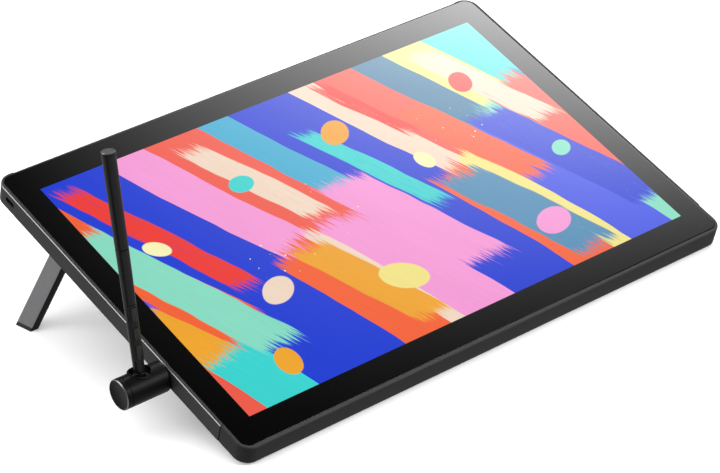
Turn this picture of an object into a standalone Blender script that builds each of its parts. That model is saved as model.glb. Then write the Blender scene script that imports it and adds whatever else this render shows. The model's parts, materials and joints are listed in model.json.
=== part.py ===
"""Pen display tablet standing on two fold-out legs, with a pen upright in a side holder.

Everything on the tablet is modelled flat in the tablet's own frame, then stood up by one empty.
In that frame the origin is the centre of the picture area on the glass, +X is right, +Y is up the
picture and +Z comes out of the glass. The floor is the world plane Z = 0.
"""
import math

import bmesh
import bpy
from mathutils import Matrix

# How the tablet stands, in metres and radians.
GAP = 0.0003
TILT = math.radians(19.5)
SCREEN_HEIGHT = 0.0563
BOX_CENTRE_X = -0.01444
BOX_CENTRE_Y = 0.00214

# Outline of the tablet body.
HALF_WIDTH = 0.1910
FRONT_EDGE = -0.1290
REAR_EDGE = 0.1285
CORNER_RADIUS = 0.0095
RIM_TOP = -0.0002
WALL_BOTTOM = -0.0130
WALL_INSET = 0.0040
CAVITY_TOP = -0.0028

# Glass and the layers behind it.
GLASS_HALF_WIDTH = 0.1890
GLASS_FRONT = -0.1264
GLASS_REAR = 0.1270
GLASS_RADIUS = 0.0070
GLASS_THICKNESS = 0.0010
WINDOW_HALF = (0.1773, 0.1133)
PANEL_HALF = (0.1750, 0.1110)
PANEL_THICKNESS = 0.0019
BACKLIGHT_THICKNESS = 0.0021
DIGITIZER_THICKNESS = 0.0010
CHASSIS_HALF = (0.1810, 0.1190)
CHASSIS_TOP = -0.0072
CHASSIS_THICKNESS = 0.0012

# Side rails, let into the wall from the front seam round the rear corners.
RAIL_SEAM = -0.1057
RAIL_REAR_END = 0.1780
RAIL_PROUD = 0.0003
RAIL_DEPTH = 0.0010

# Back cover.
COVER_BOTTOM = -0.0165
COVER_FLOOR = 0.0015
COVER_INSET = 0.0060
COVER_SLOPE = 0.0039
FLANGE_TOP = -0.0103

# Legs: a hinge along Y on each side, folding inward into the back cover.
LEG_WIDTH = 0.0138
LEG_THICKNESS = 0.0056
LEG_Y = 0.0832
LEG_PIVOT_X = 0.1606
LEG_PIVOT_Z = -0.0142
LEG_SPLAY = math.radians(21.3)
LEG_REACH = 0.1100
PAD_HEIGHT = 0.0023
PIN_RADIUS = 0.0010
PIN_HOLE_RADIUS = 0.0013
RECESS_TOP = -0.0110
RECESS_WALL = 0.0014
RECESS_X = (0.0745, 0.1690)
HINGE_BAY_START = 0.1530
HINGE_BAY_HALF = 0.0100
LUG_HALF = 0.0096
LUG_THICKNESS = 0.0023

# Feet and screws under the back cover.
FOOT_BOTTOM = -0.0192
FOOT_DEPTH = 0.0120
FRONT_FOOT_Y = -0.1120
REAR_FOOT_Y = 0.1090
FOOT_X = (0.0950, 0.1650)
SCREW_PLACES = [
    (-0.170, -0.105), (0.0, -0.105), (0.170, -0.105),
    (-0.170, 0.040), (0.0, 0.112), (0.170, 0.040),
]
SCREW_HEAD_RADIUS = 0.0023
SCREW_SHANK_RADIUS = 0.0010
SCREW_CLEARANCE = 0.0003

# Ports and switches in the walls.
PORT_Y = 0.1116
PORT_Z = -0.0060
PORT_HALF = (0.0042, 0.0015)
PORT_WALL = 0.0003
POWER_X = 0.1400
POWER_Z = -0.0062
POWER_HALF = (0.0060, 0.0016)

# Pen holder: a short round post along X off the left rail, its pen hole leaning back.
HOLDER_X = -0.2064
HOLDER_Y = -0.0503
HOLDER_Z = -0.0093
HOLDER_RADIUS = 0.0096
HOLDER_INNER_END = 0.0146
HOLDER_SEAM = -0.0119
HOLDER_FREE_END = -0.0162
PEN_LEAN = math.radians(22.7)
LIP_RADIUS = 0.0075
LIP_EDGE = 0.0004
LIP_CREST = 0.0100
LIP_DIP = 0.0070
PEN_HOLE_RADIUS = 0.0061
LINER_BORE_RADIUS = 0.0049
LINER_FLOOR = -0.0069
NIB_BAY_Z = -0.0030
NIB_BAY_RADIUS = 0.0048
PLUG_Z = -0.0062
PLUG_TONGUE_HALF = (0.0040, 0.0020)
PLUG_POCKET_FLOOR = 0.0133
FLANGE_HALF = 0.0058
FLANGE_Z = (-0.0112, -0.0026)

# Pen, from its tip upward.
PEN_SINK = 0.0057
PEN_ROLL = math.radians(-8.0)
PEN_LENGTH = 0.1540
NOSE_TOP = 0.0146
SEAM_HEIGHT = 0.0936
FRONT_RADIUS = 0.0034
SEAM_RADIUS = 0.00395
TOP_RADIUS = 0.0042
PEN_WALL = 0.0008
PLATE_HEIGHTS = (0.0215, 0.0588)
PLATE_HALF_WIDTH = 0.0029
BUTTON_HEIGHTS = [(0.0239, 0.0336), (0.0365, 0.0445), (0.0484, 0.0574)]
BUTTON_HALF_WIDTH = 0.0016

# Name: linear colour, roughness, metallic.
FINISHES = {
    "glass_black": ((0.004, 0.004, 0.005), 0.08, 0.0),
    "panel_grey": ((0.30, 0.33, 0.36), 0.40, 0.0),
    "light_guide_white": ((0.72, 0.72, 0.70), 0.50, 0.0),
    "housing_black": ((0.017, 0.017, 0.018), 0.45, 0.0),
    "rail_black": ((0.024, 0.024, 0.025), 0.42, 0.0),
    "cover_black": ((0.015, 0.015, 0.016), 0.55, 0.0),
    "leg_black": ((0.030, 0.030, 0.031), 0.38, 0.0),
    "holder_black": ((0.018, 0.018, 0.019), 0.35, 0.0),
    "pen_black": ((0.014, 0.014, 0.015), 0.40, 0.0),
    "button_black": ((0.020, 0.020, 0.021), 0.32, 0.0),
    "rubber_black": ((0.012, 0.012, 0.012), 0.80, 0.0),
    "plastic_grey": ((0.06, 0.06, 0.062), 0.50, 0.0),
    "steel": ((0.55, 0.55, 0.56), 0.30, 1.0),
    "sheet_aluminium": ((0.62, 0.63, 0.64), 0.35, 1.0),
    "board_green": ((0.02, 0.11, 0.05), 0.45, 0.0),
    "ferrite": ((0.035, 0.033, 0.032), 0.60, 0.0),
}

# Turns a shape built along local Z so that its length lies along the named axis.
AXIS_TURN = {
    "Z": Matrix.Identity(4),
    "X": Matrix(((0, 0, 1, 0), (1, 0, 0, 0), (0, 1, 0, 0), (0, 0, 0, 1))),
    "Y": Matrix(((0, 1, 0, 0), (0, 0, 1, 0), (1, 0, 0, 0), (0, 0, 0, 1))),
}


# ---------------------------------------------------------------- scene and object helpers

def clear_scene():
    for item in list(bpy.data.objects):
        bpy.data.objects.remove(item, do_unlink=True)


def make_collection(name):
    group = bpy.data.collections.new(name)
    bpy.context.scene.collection.children.link(group)
    return group


def make_finish(name):
    colour, roughness, metallic = FINISHES[name]
    finish = bpy.data.materials.new(name)
    finish.use_nodes = True
    shader = finish.node_tree.nodes["Principled BSDF"]
    shader.inputs["Base Color"].default_value = (*colour, 1.0)
    shader.inputs["Roughness"].default_value = roughness
    shader.inputs["Metallic"].default_value = metallic
    return finish


def add_frame(name, parent, location=(0, 0, 0), rotation=(0, 0, 0)):
    empty = bpy.data.objects.new(name, None)
    empty.location = location
    empty.rotation_euler = rotation
    empty.parent = parent
    empty.empty_display_size = 0.02
    PARTS.objects.link(empty)
    return empty


def add_object(name, mesh, parent, location, finish=None):
    """A finish makes a sub-part, and no finish makes a cutter."""
    item = bpy.data.objects.new(name, mesh)
    item.parent = parent
    item.location = location
    if finish:
        mesh.materials.append(SURFACES[finish])
        PARTS.objects.link(item)
    else:
        item.hide_render = True
        item.display_type = "WIRE"
        CUTTERS.objects.link(item)
    return item


def finish_mesh(name, shape):
    bmesh.ops.recalc_face_normals(shape, faces=shape.faces)
    mesh = bpy.data.meshes.new(name)
    shape.to_mesh(mesh)
    shape.free()
    mesh.shade_smooth()
    mesh.set_sharp_from_angle(angle=math.radians(32))
    return mesh


def level_edges(shape, height):
    return [edge for edge in shape.edges if all(abs(v.co.z - height) < 1e-6 for v in edge.verts)]


def across(side, low, high):
    """The X range from low to high, on the left for side -1 and on the right for side 1."""
    return sorted((side * low, side * high))


def slab(name, parent, x, y, z, finish=None, radius=0.0, top=0.0, bottom=0.0, axis="Z", segments=6):
    """A block given by its (low, high) ranges, with the edges along its axis rounded.

    top and bottom chamfer the rims at the high and low ends of that axis.
    """
    ranges = {"Z": (x, y, z), "X": (y, z, x), "Y": (z, x, y)}[axis]
    size = [high - low for low, high in ranges]
    shape = bmesh.new()
    bmesh.ops.create_cube(shape, size=1.0)
    bmesh.ops.scale(shape, vec=size, verts=shape.verts)
    if radius:
        upright = [e for e in shape.edges if abs(e.verts[0].co.z - e.verts[1].co.z) > size[2] / 2]
        bmesh.ops.bevel(shape, geom=upright, offset=radius, segments=segments, profile=0.5, affect="EDGES")
    for width, height in ((top, size[2] / 2), (bottom, -size[2] / 2)):
        if width:
            rim = level_edges(shape, height)
            bmesh.ops.bevel(shape, geom=rim, offset=width, segments=1, profile=0.5, affect="EDGES")
    bmesh.ops.transform(shape, matrix=AXIS_TURN[axis], verts=shape.verts)
    centre = [(low + high) / 2 for low, high in (x, y, z)]
    return add_object(name, finish_mesh(name, shape), parent, centre, finish)


def rod(name, parent, centre, radius, length, finish=None, axis="Z", segments=20):
    shape = bmesh.new()
    bmesh.ops.create_cone(
        shape, cap_ends=True, segments=segments, radius1=radius, radius2=radius, depth=length
    )
    bmesh.ops.transform(shape, matrix=AXIS_TURN[axis], verts=shape.verts)
    return add_object(name, finish_mesh(name, shape), parent, centre, finish)


def turned(name, parent, centre, profile, finish=None, axis="Z", hollow=False, segments=24):
    """A profile of (radius, height) points turned round the axis, running down its outer side.

    A hollow profile closes on itself and stays off the axis.
    """
    shape = bmesh.new()
    points = [shape.verts.new((radius, 0, height)) for radius, height in profile]
    for first, second in zip(points, points[1:]):
        shape.edges.new((first, second))
    if hollow:
        shape.edges.new((points[-1], points[0]))
    mesh = bpy.data.meshes.new(name)
    shape.to_mesh(mesh)
    shape.free()
    item = add_object(name, mesh, parent, centre, finish)
    if axis == "X":
        item.rotation_euler = (0, math.pi / 2, 0)
    screw = item.modifiers.new("Turn", "SCREW")
    screw.steps = segments
    screw.render_steps = segments
    screw.use_merge_vertices = True
    screw.merge_threshold = 0.00001
    screw.use_smooth_shade = True
    return item


def combine(item, other, operation="DIFFERENCE"):
    modifier = item.modifiers.new(f"{operation.title()} {other.name}", "BOOLEAN")
    modifier.operation = operation
    modifier.object = other
    modifier.solver = "EXACT"
    return item


# ---------------------------------------------------------------- tablet body

def outline(inset):
    """X range, Y range and corner radius of the tablet's outline, moved in by inset."""
    return (
        (inset - HALF_WIDTH, HALF_WIDTH - inset),
        (FRONT_EDGE + inset, REAR_EDGE - inset),
        CORNER_RADIUS - inset,
    )


def outline_slab(name, parent, inset, z, finish=None, top=0.0, bottom=0.0, least_radius=0.002):
    x, y, radius = outline(inset)
    return slab(name, parent, x, y, z, finish, radius=max(radius, least_radius), top=top, bottom=bottom)


def rail_region(name, parent, side, inset, z=(-0.0300, 0.0100)):
    """The space that a side rail takes: one side of the tablet behind the front seam."""
    beyond = 0.0100
    x = across(side, RAIL_REAR_END + inset, HALF_WIDTH + beyond)
    return slab(name, parent, x, (RAIL_SEAM + inset, REAR_EDGE + beyond), z)


def make_front_frame(tablet):
    height = (WALL_BOTTOM, RIM_TOP)
    frame = outline_slab("front_frame", tablet, 0.0, height, "housing_black", 0.0007, 0.0003)
    glass_pocket = slab(
        "cut_glass_pocket", tablet,
        (-GLASS_HALF_WIDTH - GAP, GLASS_HALF_WIDTH + GAP), (GLASS_FRONT - GAP, GLASS_REAR + GAP),
        (-GLASS_THICKNESS - GAP, 0.0020), radius=GLASS_RADIUS + GAP,
    )
    half_x, half_y = WINDOW_HALF
    window = slab("cut_window", tablet, (-half_x, half_x), (-half_y, half_y), (-0.0300, 0.0020))
    cavity = outline_slab("cut_frame_cavity", tablet, WALL_INSET, (-0.0300, CAVITY_TOP))
    for cutter in (glass_pocket, window, cavity):
        combine(frame, cutter)
    for side, word in ((-1, "left"), (1, "right")):
        pocket = rail_region(f"cut_rail_pocket_{word}", tablet, side, 0.0)
        combine(pocket, outline_slab(f"keep_wall_{word}", tablet, RAIL_DEPTH, (-0.0400, 0.0200)))
        combine(frame, pocket)
    return frame


def make_side_rail(tablet, side, word):
    height = (WALL_BOTTOM + 0.0002, RIM_TOP)
    rail = outline_slab(
        f"side_rail_{word}", tablet, -RAIL_PROUD, height, "rail_black", top=0.0005, bottom=0.0003
    )
    combine(rail, rail_region(f"keep_rail_{word}", tablet, side, GAP), "INTERSECT")
    combine(rail, outline_slab(f"cut_rail_{word}", tablet, RAIL_DEPTH - GAP, (-0.0400, 0.0200)))
    return rail


def make_display_stack(tablet):
    """The glass and, each a gap behind the last, the layers that make and sense the picture."""
    half_x, half_y = PANEL_HALF
    slab(
        "cover_glass", tablet, (-GLASS_HALF_WIDTH, GLASS_HALF_WIDTH), (GLASS_FRONT, GLASS_REAR),
        (-GLASS_THICKNESS, 0.0), "glass_black", radius=GLASS_RADIUS,
    )
    top = -GLASS_THICKNESS - GAP
    layers = (
        ("display_panel", PANEL_THICKNESS, "panel_grey", 0.0),
        ("backlight_unit", BACKLIGHT_THICKNESS, "light_guide_white", 0.0010),
        ("digitizer_board", DIGITIZER_THICKNESS, "board_green", 0.0030),
    )
    for name, thickness, finish, margin in layers:
        x = (-half_x - margin, half_x + margin)
        y = (-half_y - margin, half_y + margin)
        slab(name, tablet, x, y, (top - thickness, top), finish)
        top -= thickness + GAP


def make_chassis_plate(tablet):
    """A stamped sheet with a screw boss over each screw and a notch for the port board."""
    half_x, half_y = CHASSIS_HALF
    bottom = CHASSIS_TOP - CHASSIS_THICKNESS
    plate = slab(
        "chassis_plate", tablet, (-half_x, half_x), (-half_y, half_y), (bottom, CHASSIS_TOP),
        "sheet_aluminium", radius=0.004, segments=3,
    )
    boss_foot = COVER_BOTTOM + COVER_FLOOR + GAP
    for index, (x, y) in enumerate(SCREW_PLACES):
        boss_length = bottom + 0.0004 - boss_foot
        boss_centre = (x, y, boss_foot + boss_length / 2)
        boss = rod(f"add_boss_{index + 1}", tablet, boss_centre, 0.0030, boss_length, segments=12)
        hole_centre = (x, y, boss_foot + 0.0020)
        hole_radius = SCREW_SHANK_RADIUS + SCREW_CLEARANCE
        hole = rod(f"cut_boss_{index + 1}", tablet, hole_centre, hole_radius, 0.0070, segments=12)
        combine(plate, boss, "UNION")
        combine(plate, hole)
    notch = slab("cut_port_notch", tablet, (-0.2000, -0.1600), (0.0970, 0.1300), (-0.0200, 0.0))
    return combine(plate, notch)


def make_electronics(tablet):
    slab("main_board", tablet, (-0.0550, 0.0550), (0.0250, 0.0950), (-0.0104, -0.0090), "board_green")
    slab("board_shield", tablet, (-0.0250, 0.0150), (0.0450, 0.0750), (-0.0123, -0.0107), "sheet_aluminium")
    slab("port_board", tablet, (-0.1866, -0.1640), (0.0995, 0.1195), (-0.0094, -0.0082), "board_green")


def make_usb_port(tablet):
    """A pressed shell round a rounded slot, with the contact tongue left standing in it."""
    half_y, half_z = PORT_HALF
    x = (-HALF_WIDTH + 0.0004, -0.1832)
    shell = slab(
        "usb_c_port", tablet, x, (PORT_Y - half_y, PORT_Y + half_y), (PORT_Z - half_z, PORT_Z + half_z),
        "steel", radius=0.00145, axis="X", segments=4,
    )
    half_y -= PORT_WALL
    half_z -= PORT_WALL
    throat = slab(
        "cut_port_throat", tablet, (x[0] - 0.0020, x[1] - 0.0008),
        (PORT_Y - half_y, PORT_Y + half_y), (PORT_Z - half_z, PORT_Z + half_z),
        radius=0.00115, axis="X", segments=4,
    )
    tongue = slab(
        "keep_port_tongue", tablet, (x[0] + 0.0015, x[1]), (PORT_Y - 0.0030, PORT_Y + 0.0030),
        (PORT_Z - 0.00035, PORT_Z + 0.00035),
    )
    combine(throat, tongue)
    return combine(shell, throat)


def make_power_button(tablet):
    """A pill in the rear wall, pressed forward onto a small switch on the frame."""
    half_x, half_z = POWER_HALF
    x = (POWER_X - half_x, POWER_X + half_x)
    z = (POWER_Z - half_z, POWER_Z + half_z)
    cap_y = (REAR_EDGE - 0.0040, REAR_EDGE + 0.0003)
    slab("power_button", tablet, x, cap_y, z, "button_black", radius=0.0015, axis="Y", segments=4)
    switch_y = (cap_y[0] - 0.0044, cap_y[0] - 0.0010)
    slab("power_switch", tablet, (POWER_X - 0.0030, POWER_X + 0.0030), switch_y, z, "plastic_grey")


def cut_wall_openings(tablet, frame, left_rail):
    """The USB-C slot and the holder's plug slot go through the left rail and the wall behind it."""
    through_wall = (-0.2000, -0.1800)
    half_y, half_z = (half + GAP for half in PORT_HALF)
    port = slab(
        "cut_port_slot", tablet, through_wall, (PORT_Y - half_y, PORT_Y + half_y),
        (PORT_Z - half_z, PORT_Z + half_z), radius=0.0017, axis="X", segments=4,
    )
    half_y, half_z = (half + GAP for half in PLUG_TONGUE_HALF)
    plug = slab(
        "cut_plug_slot", tablet, through_wall, (HOLDER_Y - half_y, HOLDER_Y + half_y),
        (PLUG_Z - half_z, PLUG_Z + half_z),
    )
    half_x, half_z = (half + GAP for half in POWER_HALF)
    power = slab(
        "cut_power_slot", tablet, (POWER_X - half_x, POWER_X + half_x), (0.1150, 0.1400),
        (POWER_Z - half_z, POWER_Z + half_z), radius=0.0018, axis="Y", segments=4,
    )
    for cutter in (port, plug):
        combine(frame, cutter)
        combine(left_rail, cutter)
    combine(frame, power)


# ---------------------------------------------------------------- back cover, screws and feet

def make_back_cover(tablet):
    cover = outline_slab(
        "back_cover", tablet, COVER_INSET, (COVER_BOTTOM, WALL_BOTTOM + 0.0005), "cover_black",
        bottom=COVER_SLOPE, least_radius=COVER_SLOPE + 0.0020,
    )
    flange = outline_slab("add_flange", tablet, WALL_INSET + GAP, (WALL_BOTTOM - 0.0001, FLANGE_TOP))
    hollow = outline_slab(
        "cut_cover_hollow", tablet, COVER_INSET + 0.0042, (COVER_BOTTOM + COVER_FLOOR, 0.0)
    )
    combine(cover, flange, "UNION")
    combine(cover, hollow)
    for side, word in ((-1, "left"), (1, "right")):
        add_leg_recess(tablet, cover, side, word)
    head_radius = SCREW_HEAD_RADIUS + SCREW_CLEARANCE
    shank_radius = SCREW_SHANK_RADIUS + SCREW_CLEARANCE
    for index, (x, y) in enumerate(SCREW_PLACES):
        place = (x, y, COVER_BOTTOM)
        combine(cover, rod(f"cut_screw_head_{index + 1}", tablet, place, head_radius, 0.0018))
        combine(cover, rod(f"cut_screw_shank_{index + 1}", tablet, place, shank_radius, 0.0060))
    cut_vents(tablet, cover)
    return cover


def add_leg_recess(tablet, cover, side, word):
    """A walled trough for the folded leg, wider where it holds the hinge bracket."""
    trough_half = LEG_WIDTH / 2 + 0.0007
    block_half = HINGE_BAY_HALF + RECESS_WALL
    below_cover = COVER_BOTTOM - 0.0100
    bay_step = 0.00002
    inner, outer = RECESS_X
    block = slab(
        f"add_recess_{word}", tablet, across(side, inner - RECESS_WALL, outer + RECESS_WALL),
        (LEG_Y - block_half, LEG_Y + block_half), (COVER_BOTTOM + 0.0005, RECESS_TOP + RECESS_WALL),
    )
    trough = slab(
        f"cut_recess_{word}", tablet, across(side, inner, outer),
        (LEG_Y - trough_half, LEG_Y + trough_half), (below_cover, RECESS_TOP),
    )
    hinge_bay = slab(
        f"cut_hinge_bay_{word}", tablet, across(side, HINGE_BAY_START, outer),
        (LEG_Y - HINGE_BAY_HALF, LEG_Y + HINGE_BAY_HALF), (below_cover, RECESS_TOP - bay_step),
    )
    combine(cover, block, "UNION")
    combine(cover, trough)
    combine(cover, hinge_bay)


def cut_vents(tablet, cover):
    slot_count = 9
    pitch = 0.0070
    half_slot = 0.0010
    through_floor = (-0.0200, -0.0140)
    for index in range(slot_count):
        centre = (index - (slot_count - 1) / 2) * pitch
        x = (centre - half_slot, centre + half_slot)
        combine(cover, slab(f"cut_vent_{index + 1}", tablet, x, (0.0880, 0.1000), through_floor))


def make_cover_screws(tablet):
    head_top = COVER_BOTTOM + 0.0006
    head_bottom = COVER_BOTTOM + 0.0001
    shank_top = -0.0100
    profile = [
        (0.0, shank_top), (SCREW_SHANK_RADIUS, shank_top), (SCREW_SHANK_RADIUS, head_top),
        (SCREW_HEAD_RADIUS, head_top), (SCREW_HEAD_RADIUS, head_bottom), (0.0, head_bottom),
    ]
    for index, (x, y) in enumerate(SCREW_PLACES):
        turned(f"back_screw_{index + 1}", tablet, (x, y, 0.0), profile, "steel", segments=12)


def make_rubber_feet(tablet, floor_cutter):
    """The front feet end in a facet that lies flat on the floor when the tablet is tilted."""
    for side, word in ((-1, "left"), (1, "right")):
        x = across(side, *FOOT_X)
        for place, y in (("front", FRONT_FOOT_Y), ("rear", REAR_FOOT_Y)):
            foot = slab(
                f"rubber_foot_{place}_{word}", tablet, x, (y - FOOT_DEPTH / 2, y + FOOT_DEPTH / 2),
                (FOOT_BOTTOM, COVER_BOTTOM - GAP), "rubber_black", radius=0.0030, segments=4,
            )
            if place == "front":
                combine(foot, floor_cutter)


# ---------------------------------------------------------------- legs

def make_leg(tablet, side, word, floor_cutter, pad_line_cutter, above_pad_cutter):
    pivot = add_frame(
        f"leg_hinge_{word}", tablet, (side * LEG_PIVOT_X, LEG_Y, LEG_PIVOT_Z), (0, -side * LEG_SPLAY, 0)
    )
    half_width = LEG_WIDTH / 2
    half_thickness = LEG_THICKNESS / 2
    section = ((-half_thickness, half_thickness), (-half_width, half_width))
    leg = slab(
        f"leg_{word}", pivot, *section, (-LEG_REACH, 0.0), "leg_black", radius=0.0005, segments=2
    )
    centre = (0, 0, 0)
    knuckle = rod(f"add_knuckle_{word}", pivot, centre, half_thickness, LEG_WIDTH, axis="Y", segments=24)
    bore = rod(f"cut_leg_bore_{word}", pivot, centre, PIN_HOLE_RADIUS, 0.0300, axis="Y", segments=16)
    combine(leg, knuckle, "UNION")
    combine(leg, bore)
    combine(leg, pad_line_cutter)
    above_line = -0.0600
    pad = slab(
        f"leg_foot_pad_{word}", pivot, *section, (-LEG_REACH, above_line), "rubber_black",
        radius=0.0005, segments=2,
    )
    combine(pad, floor_cutter)
    combine(pad, above_pad_cutter)


def make_leg_bracket(tablet, side, word):
    """Two lugs and the bar that joins them, which also stops the leg when it is out."""
    lug_end = LEG_PIVOT_X - 0.0028
    bar_start = LEG_PIVOT_X + 0.0043
    bar_end = LEG_PIVOT_X + 0.0070
    gap_half = LUG_HALF - LUG_THICKNESS
    z = (-0.0163, RECESS_TOP - GAP - 0.0001)
    bracket = slab(
        f"leg_bracket_{word}", tablet, across(side, lug_end, bar_end),
        (LEG_Y - LUG_HALF, LEG_Y + LUG_HALF), z, "steel",
    )
    gap_between_lugs = slab(
        f"cut_bracket_{word}", tablet, across(side, lug_end - 0.0100, bar_start),
        (LEG_Y - gap_half, LEG_Y + gap_half), (-0.0300, 0.0),
    )
    place = (side * LEG_PIVOT_X, LEG_Y, LEG_PIVOT_Z)
    bore = rod(f"cut_lug_bore_{word}", tablet, place, PIN_HOLE_RADIUS, 0.0300, axis="Y", segments=16)
    combine(bracket, gap_between_lugs)
    combine(bracket, bore)
    rod(f"leg_pin_{word}", tablet, place, PIN_RADIUS, 0.0190, "steel", axis="Y", segments=16)


# ---------------------------------------------------------------- pen holder

def lip_height(sine):
    """Height of the pen hole's lip at an angle from X: it dips in front and is nearly level behind."""
    if sine < 0:
        return math.sqrt(LIP_CREST ** 2 - (LIP_DIP * sine) ** 2) + 0.0009 * sine ** 2
    return LIP_CREST - 0.0006 * sine ** 2


def make_lip(holder):
    """A disc whose top is a saddle that follows the post, with its rim chamfered."""
    shape = bmesh.new()
    bmesh.ops.create_cone(
        shape, cap_ends=True, segments=32, radius1=LIP_RADIUS, radius2=LIP_RADIUS, depth=0.0060
    )
    for width in (LIP_EDGE, LIP_RADIUS / 2):
        top = max(shape.faces, key=lambda face: (len(face.verts), face.calc_center_median().z))
        bmesh.ops.inset_individual(shape, faces=[top], thickness=width)
    for vertex in shape.verts:
        if vertex.co.z > 0:
            radius = vertex.co.xy.length
            drop = LIP_EDGE if radius > LIP_RADIUS - LIP_EDGE / 2 else 0.0
            vertex.co.z = lip_height(vertex.co.y / radius) - drop
    return add_object("add_lip", finish_mesh("add_lip", shape), holder, (0, 0, 0))


def make_holder_body(tablet, holder):
    """A round post with a lipped pen hole and, in its inner end, a pocket for the plug's flange."""
    length = HOLDER_INNER_END - HOLDER_SEAM
    centre_x = (HOLDER_INNER_END + HOLDER_SEAM) / 2
    edge = 0.0008
    body = turned(
        "holder_body", holder, (centre_x, 0, 0),
        [
            (0.0, length / 2), (HOLDER_RADIUS - edge, length / 2), (HOLDER_RADIUS, length / 2 - edge),
            (HOLDER_RADIUS, -length / 2), (0.0, -length / 2),
        ],
        "holder_black", axis="X", segments=48,
    )
    combine(body, make_lip(holder), "UNION")
    funnel = turned(
        "cut_funnel", holder, (0, 0, 0),
        [
            (0.0, 0.0140), (PEN_HOLE_RADIUS, 0.0140), (PEN_HOLE_RADIUS, 0.0075),
            (LINER_BORE_RADIUS, 0.0020), (LINER_BORE_RADIUS, LINER_FLOOR), (0.0, LINER_FLOOR),
        ],
        segments=32,
    )
    bay_length = 0.0057
    bay_centre = (HOLDER_SEAM + bay_length / 2, 0, NIB_BAY_Z)
    nib_bay = rod("cut_nib_bay", holder, bay_centre, NIB_BAY_RADIUS, bay_length, axis="X", segments=24)
    cap_seat = rod("cut_cap_seat", holder, (HOLDER_SEAM, 0, 0), 0.0079, 0.0040, axis="X", segments=32)
    plug_centre = (PLUG_POCKET_FLOOR, 0, 0)
    plug_bore = rod("cut_plug_bore", holder, plug_centre, 0.0033, 0.0066, axis="X", segments=16)
    pocket_start = HOLDER_X + PLUG_POCKET_FLOOR
    half = FLANGE_HALF + GAP
    plug_pocket = slab(
        "cut_plug_pocket", tablet, (pocket_start, pocket_start + 0.0030), (HOLDER_Y - half, HOLDER_Y + half),
        (FLANGE_Z[0] - GAP, FLANGE_Z[1] + GAP), radius=0.0023, axis="X", segments=4,
    )
    for cutter in (funnel, nib_bay, cap_seat, plug_bore, plug_pocket):
        combine(body, cutter)


def make_socket_liner(holder):
    """A soft sleeve in the funnel, shaped to the pen's nose."""
    inside = [
        (0.0, -0.0061), (0.0016, -0.0061), (0.0016, -0.0040),
        (0.0024, -0.0010), (0.0031, 0.0025), (0.0038, 0.0060),
    ]
    outer_radius = LINER_BORE_RADIUS - GAP
    outer_floor = LINER_FLOOR + GAP
    outside = [
        (0.0053, 0.0060), (outer_radius, 0.0021), (outer_radius, outer_floor), (0.0, outer_floor),
    ]
    turned("socket_liner", holder, (0, 0, 0), [*inside, *outside], "rubber_black")


def make_holder_cap(holder):
    depth = HOLDER_SEAM - GAP - HOLDER_FREE_END
    profile = [
        (0.0, depth - 0.0027), (0.0068, depth - 0.0027), (0.0068, depth + 0.0017), (0.0076, depth + 0.0017),
        (0.0076, depth), (HOLDER_RADIUS, depth), (HOLDER_RADIUS, 0.0006), (HOLDER_RADIUS - 0.0006, 0.0),
        (0.0, 0.0),
    ]
    turned("holder_cap", holder, (HOLDER_FREE_END, 0, 0), profile, "holder_black", axis="X", segments=48)


def make_nibs(holder):
    """A small tray in the post's end holds the spare nibs, which reach into the hollow cap."""
    thickness = 0.0032
    centre = (HOLDER_SEAM + 0.0038, 0, NIB_BAY_Z)
    tray = rod("nib_tray", holder, centre, NIB_BAY_RADIUS - GAP, thickness, "plastic_grey", "X", 24)
    nib_count = 3
    ring = 0.0023
    for index in range(nib_count):
        angle = math.tau * (index + 0.25) / nib_count
        place = (HOLDER_SEAM + 0.0015, ring * math.cos(angle), NIB_BAY_Z + ring * math.sin(angle))
        hole = rod(f"cut_nib_hole_{index + 1}", holder, place, 0.0011, 0.0200, axis="X", segments=12)
        combine(tray, hole)
        rod(f"spare_nib_{index + 1}", holder, place, 0.0008, 0.0070, "plastic_grey", axis="X", segments=10)


def make_holder_plug(tablet):
    """A peg into the post, a flange sunk in its end and a tongue through the wall."""
    wall_x = -HALF_WIDTH - RAIL_PROUD
    flange_x = (HOLDER_X + PLUG_POCKET_FLOOR + GAP, wall_x - GAP)
    plug = slab(
        "holder_plug", tablet, flange_x, (HOLDER_Y - FLANGE_HALF, HOLDER_Y + FLANGE_HALF),
        FLANGE_Z, "holder_black", radius=0.0020, axis="X", segments=4,
    )
    half_y, half_z = PLUG_TONGUE_HALF
    tongue = slab(
        "add_plug_tongue", tablet, (flange_x[1] - 0.0005, -0.1862),
        (HOLDER_Y - half_y, HOLDER_Y + half_y), (PLUG_Z - half_z, PLUG_Z + half_z),
    )
    peg_centre = (flange_x[0] - 0.0010, HOLDER_Y, HOLDER_Z)
    peg = rod("add_plug_peg", tablet, peg_centre, 0.0030, 0.0040, axis="X", segments=16)
    combine(plug, tongue, "UNION")
    combine(plug, peg, "UNION")


# ---------------------------------------------------------------- pen

def barrel_radius(height):
    """The front barrel widens evenly from the nose cone to the seam."""
    share = (height - NOSE_TOP) / (SEAM_HEIGHT - NOSE_TOP)
    return FRONT_RADIUS + share * (SEAM_RADIUS - FRONT_RADIUS)


def sleeve(name, pen, heights, outer, inner, finish=None):
    """A tube that follows the front barrel's taper, its faces moved out by outer and inner."""
    low, high = heights
    profile = [
        (barrel_radius(high) + inner, high), (barrel_radius(high) + outer, high),
        (barrel_radius(low) + outer, low), (barrel_radius(low) + inner, low),
    ]
    return turned(name, pen, (0, 0, 0), profile, finish, hollow=True)


def pill_block(name, pen, half_width, heights, radius):
    """A round-cornered block through the pen's button side, which faces -Y."""
    x = (-half_width, half_width)
    return slab(name, pen, x, (-0.0060, 0.0), heights, radius=radius, axis="Y", segments=4)


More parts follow.
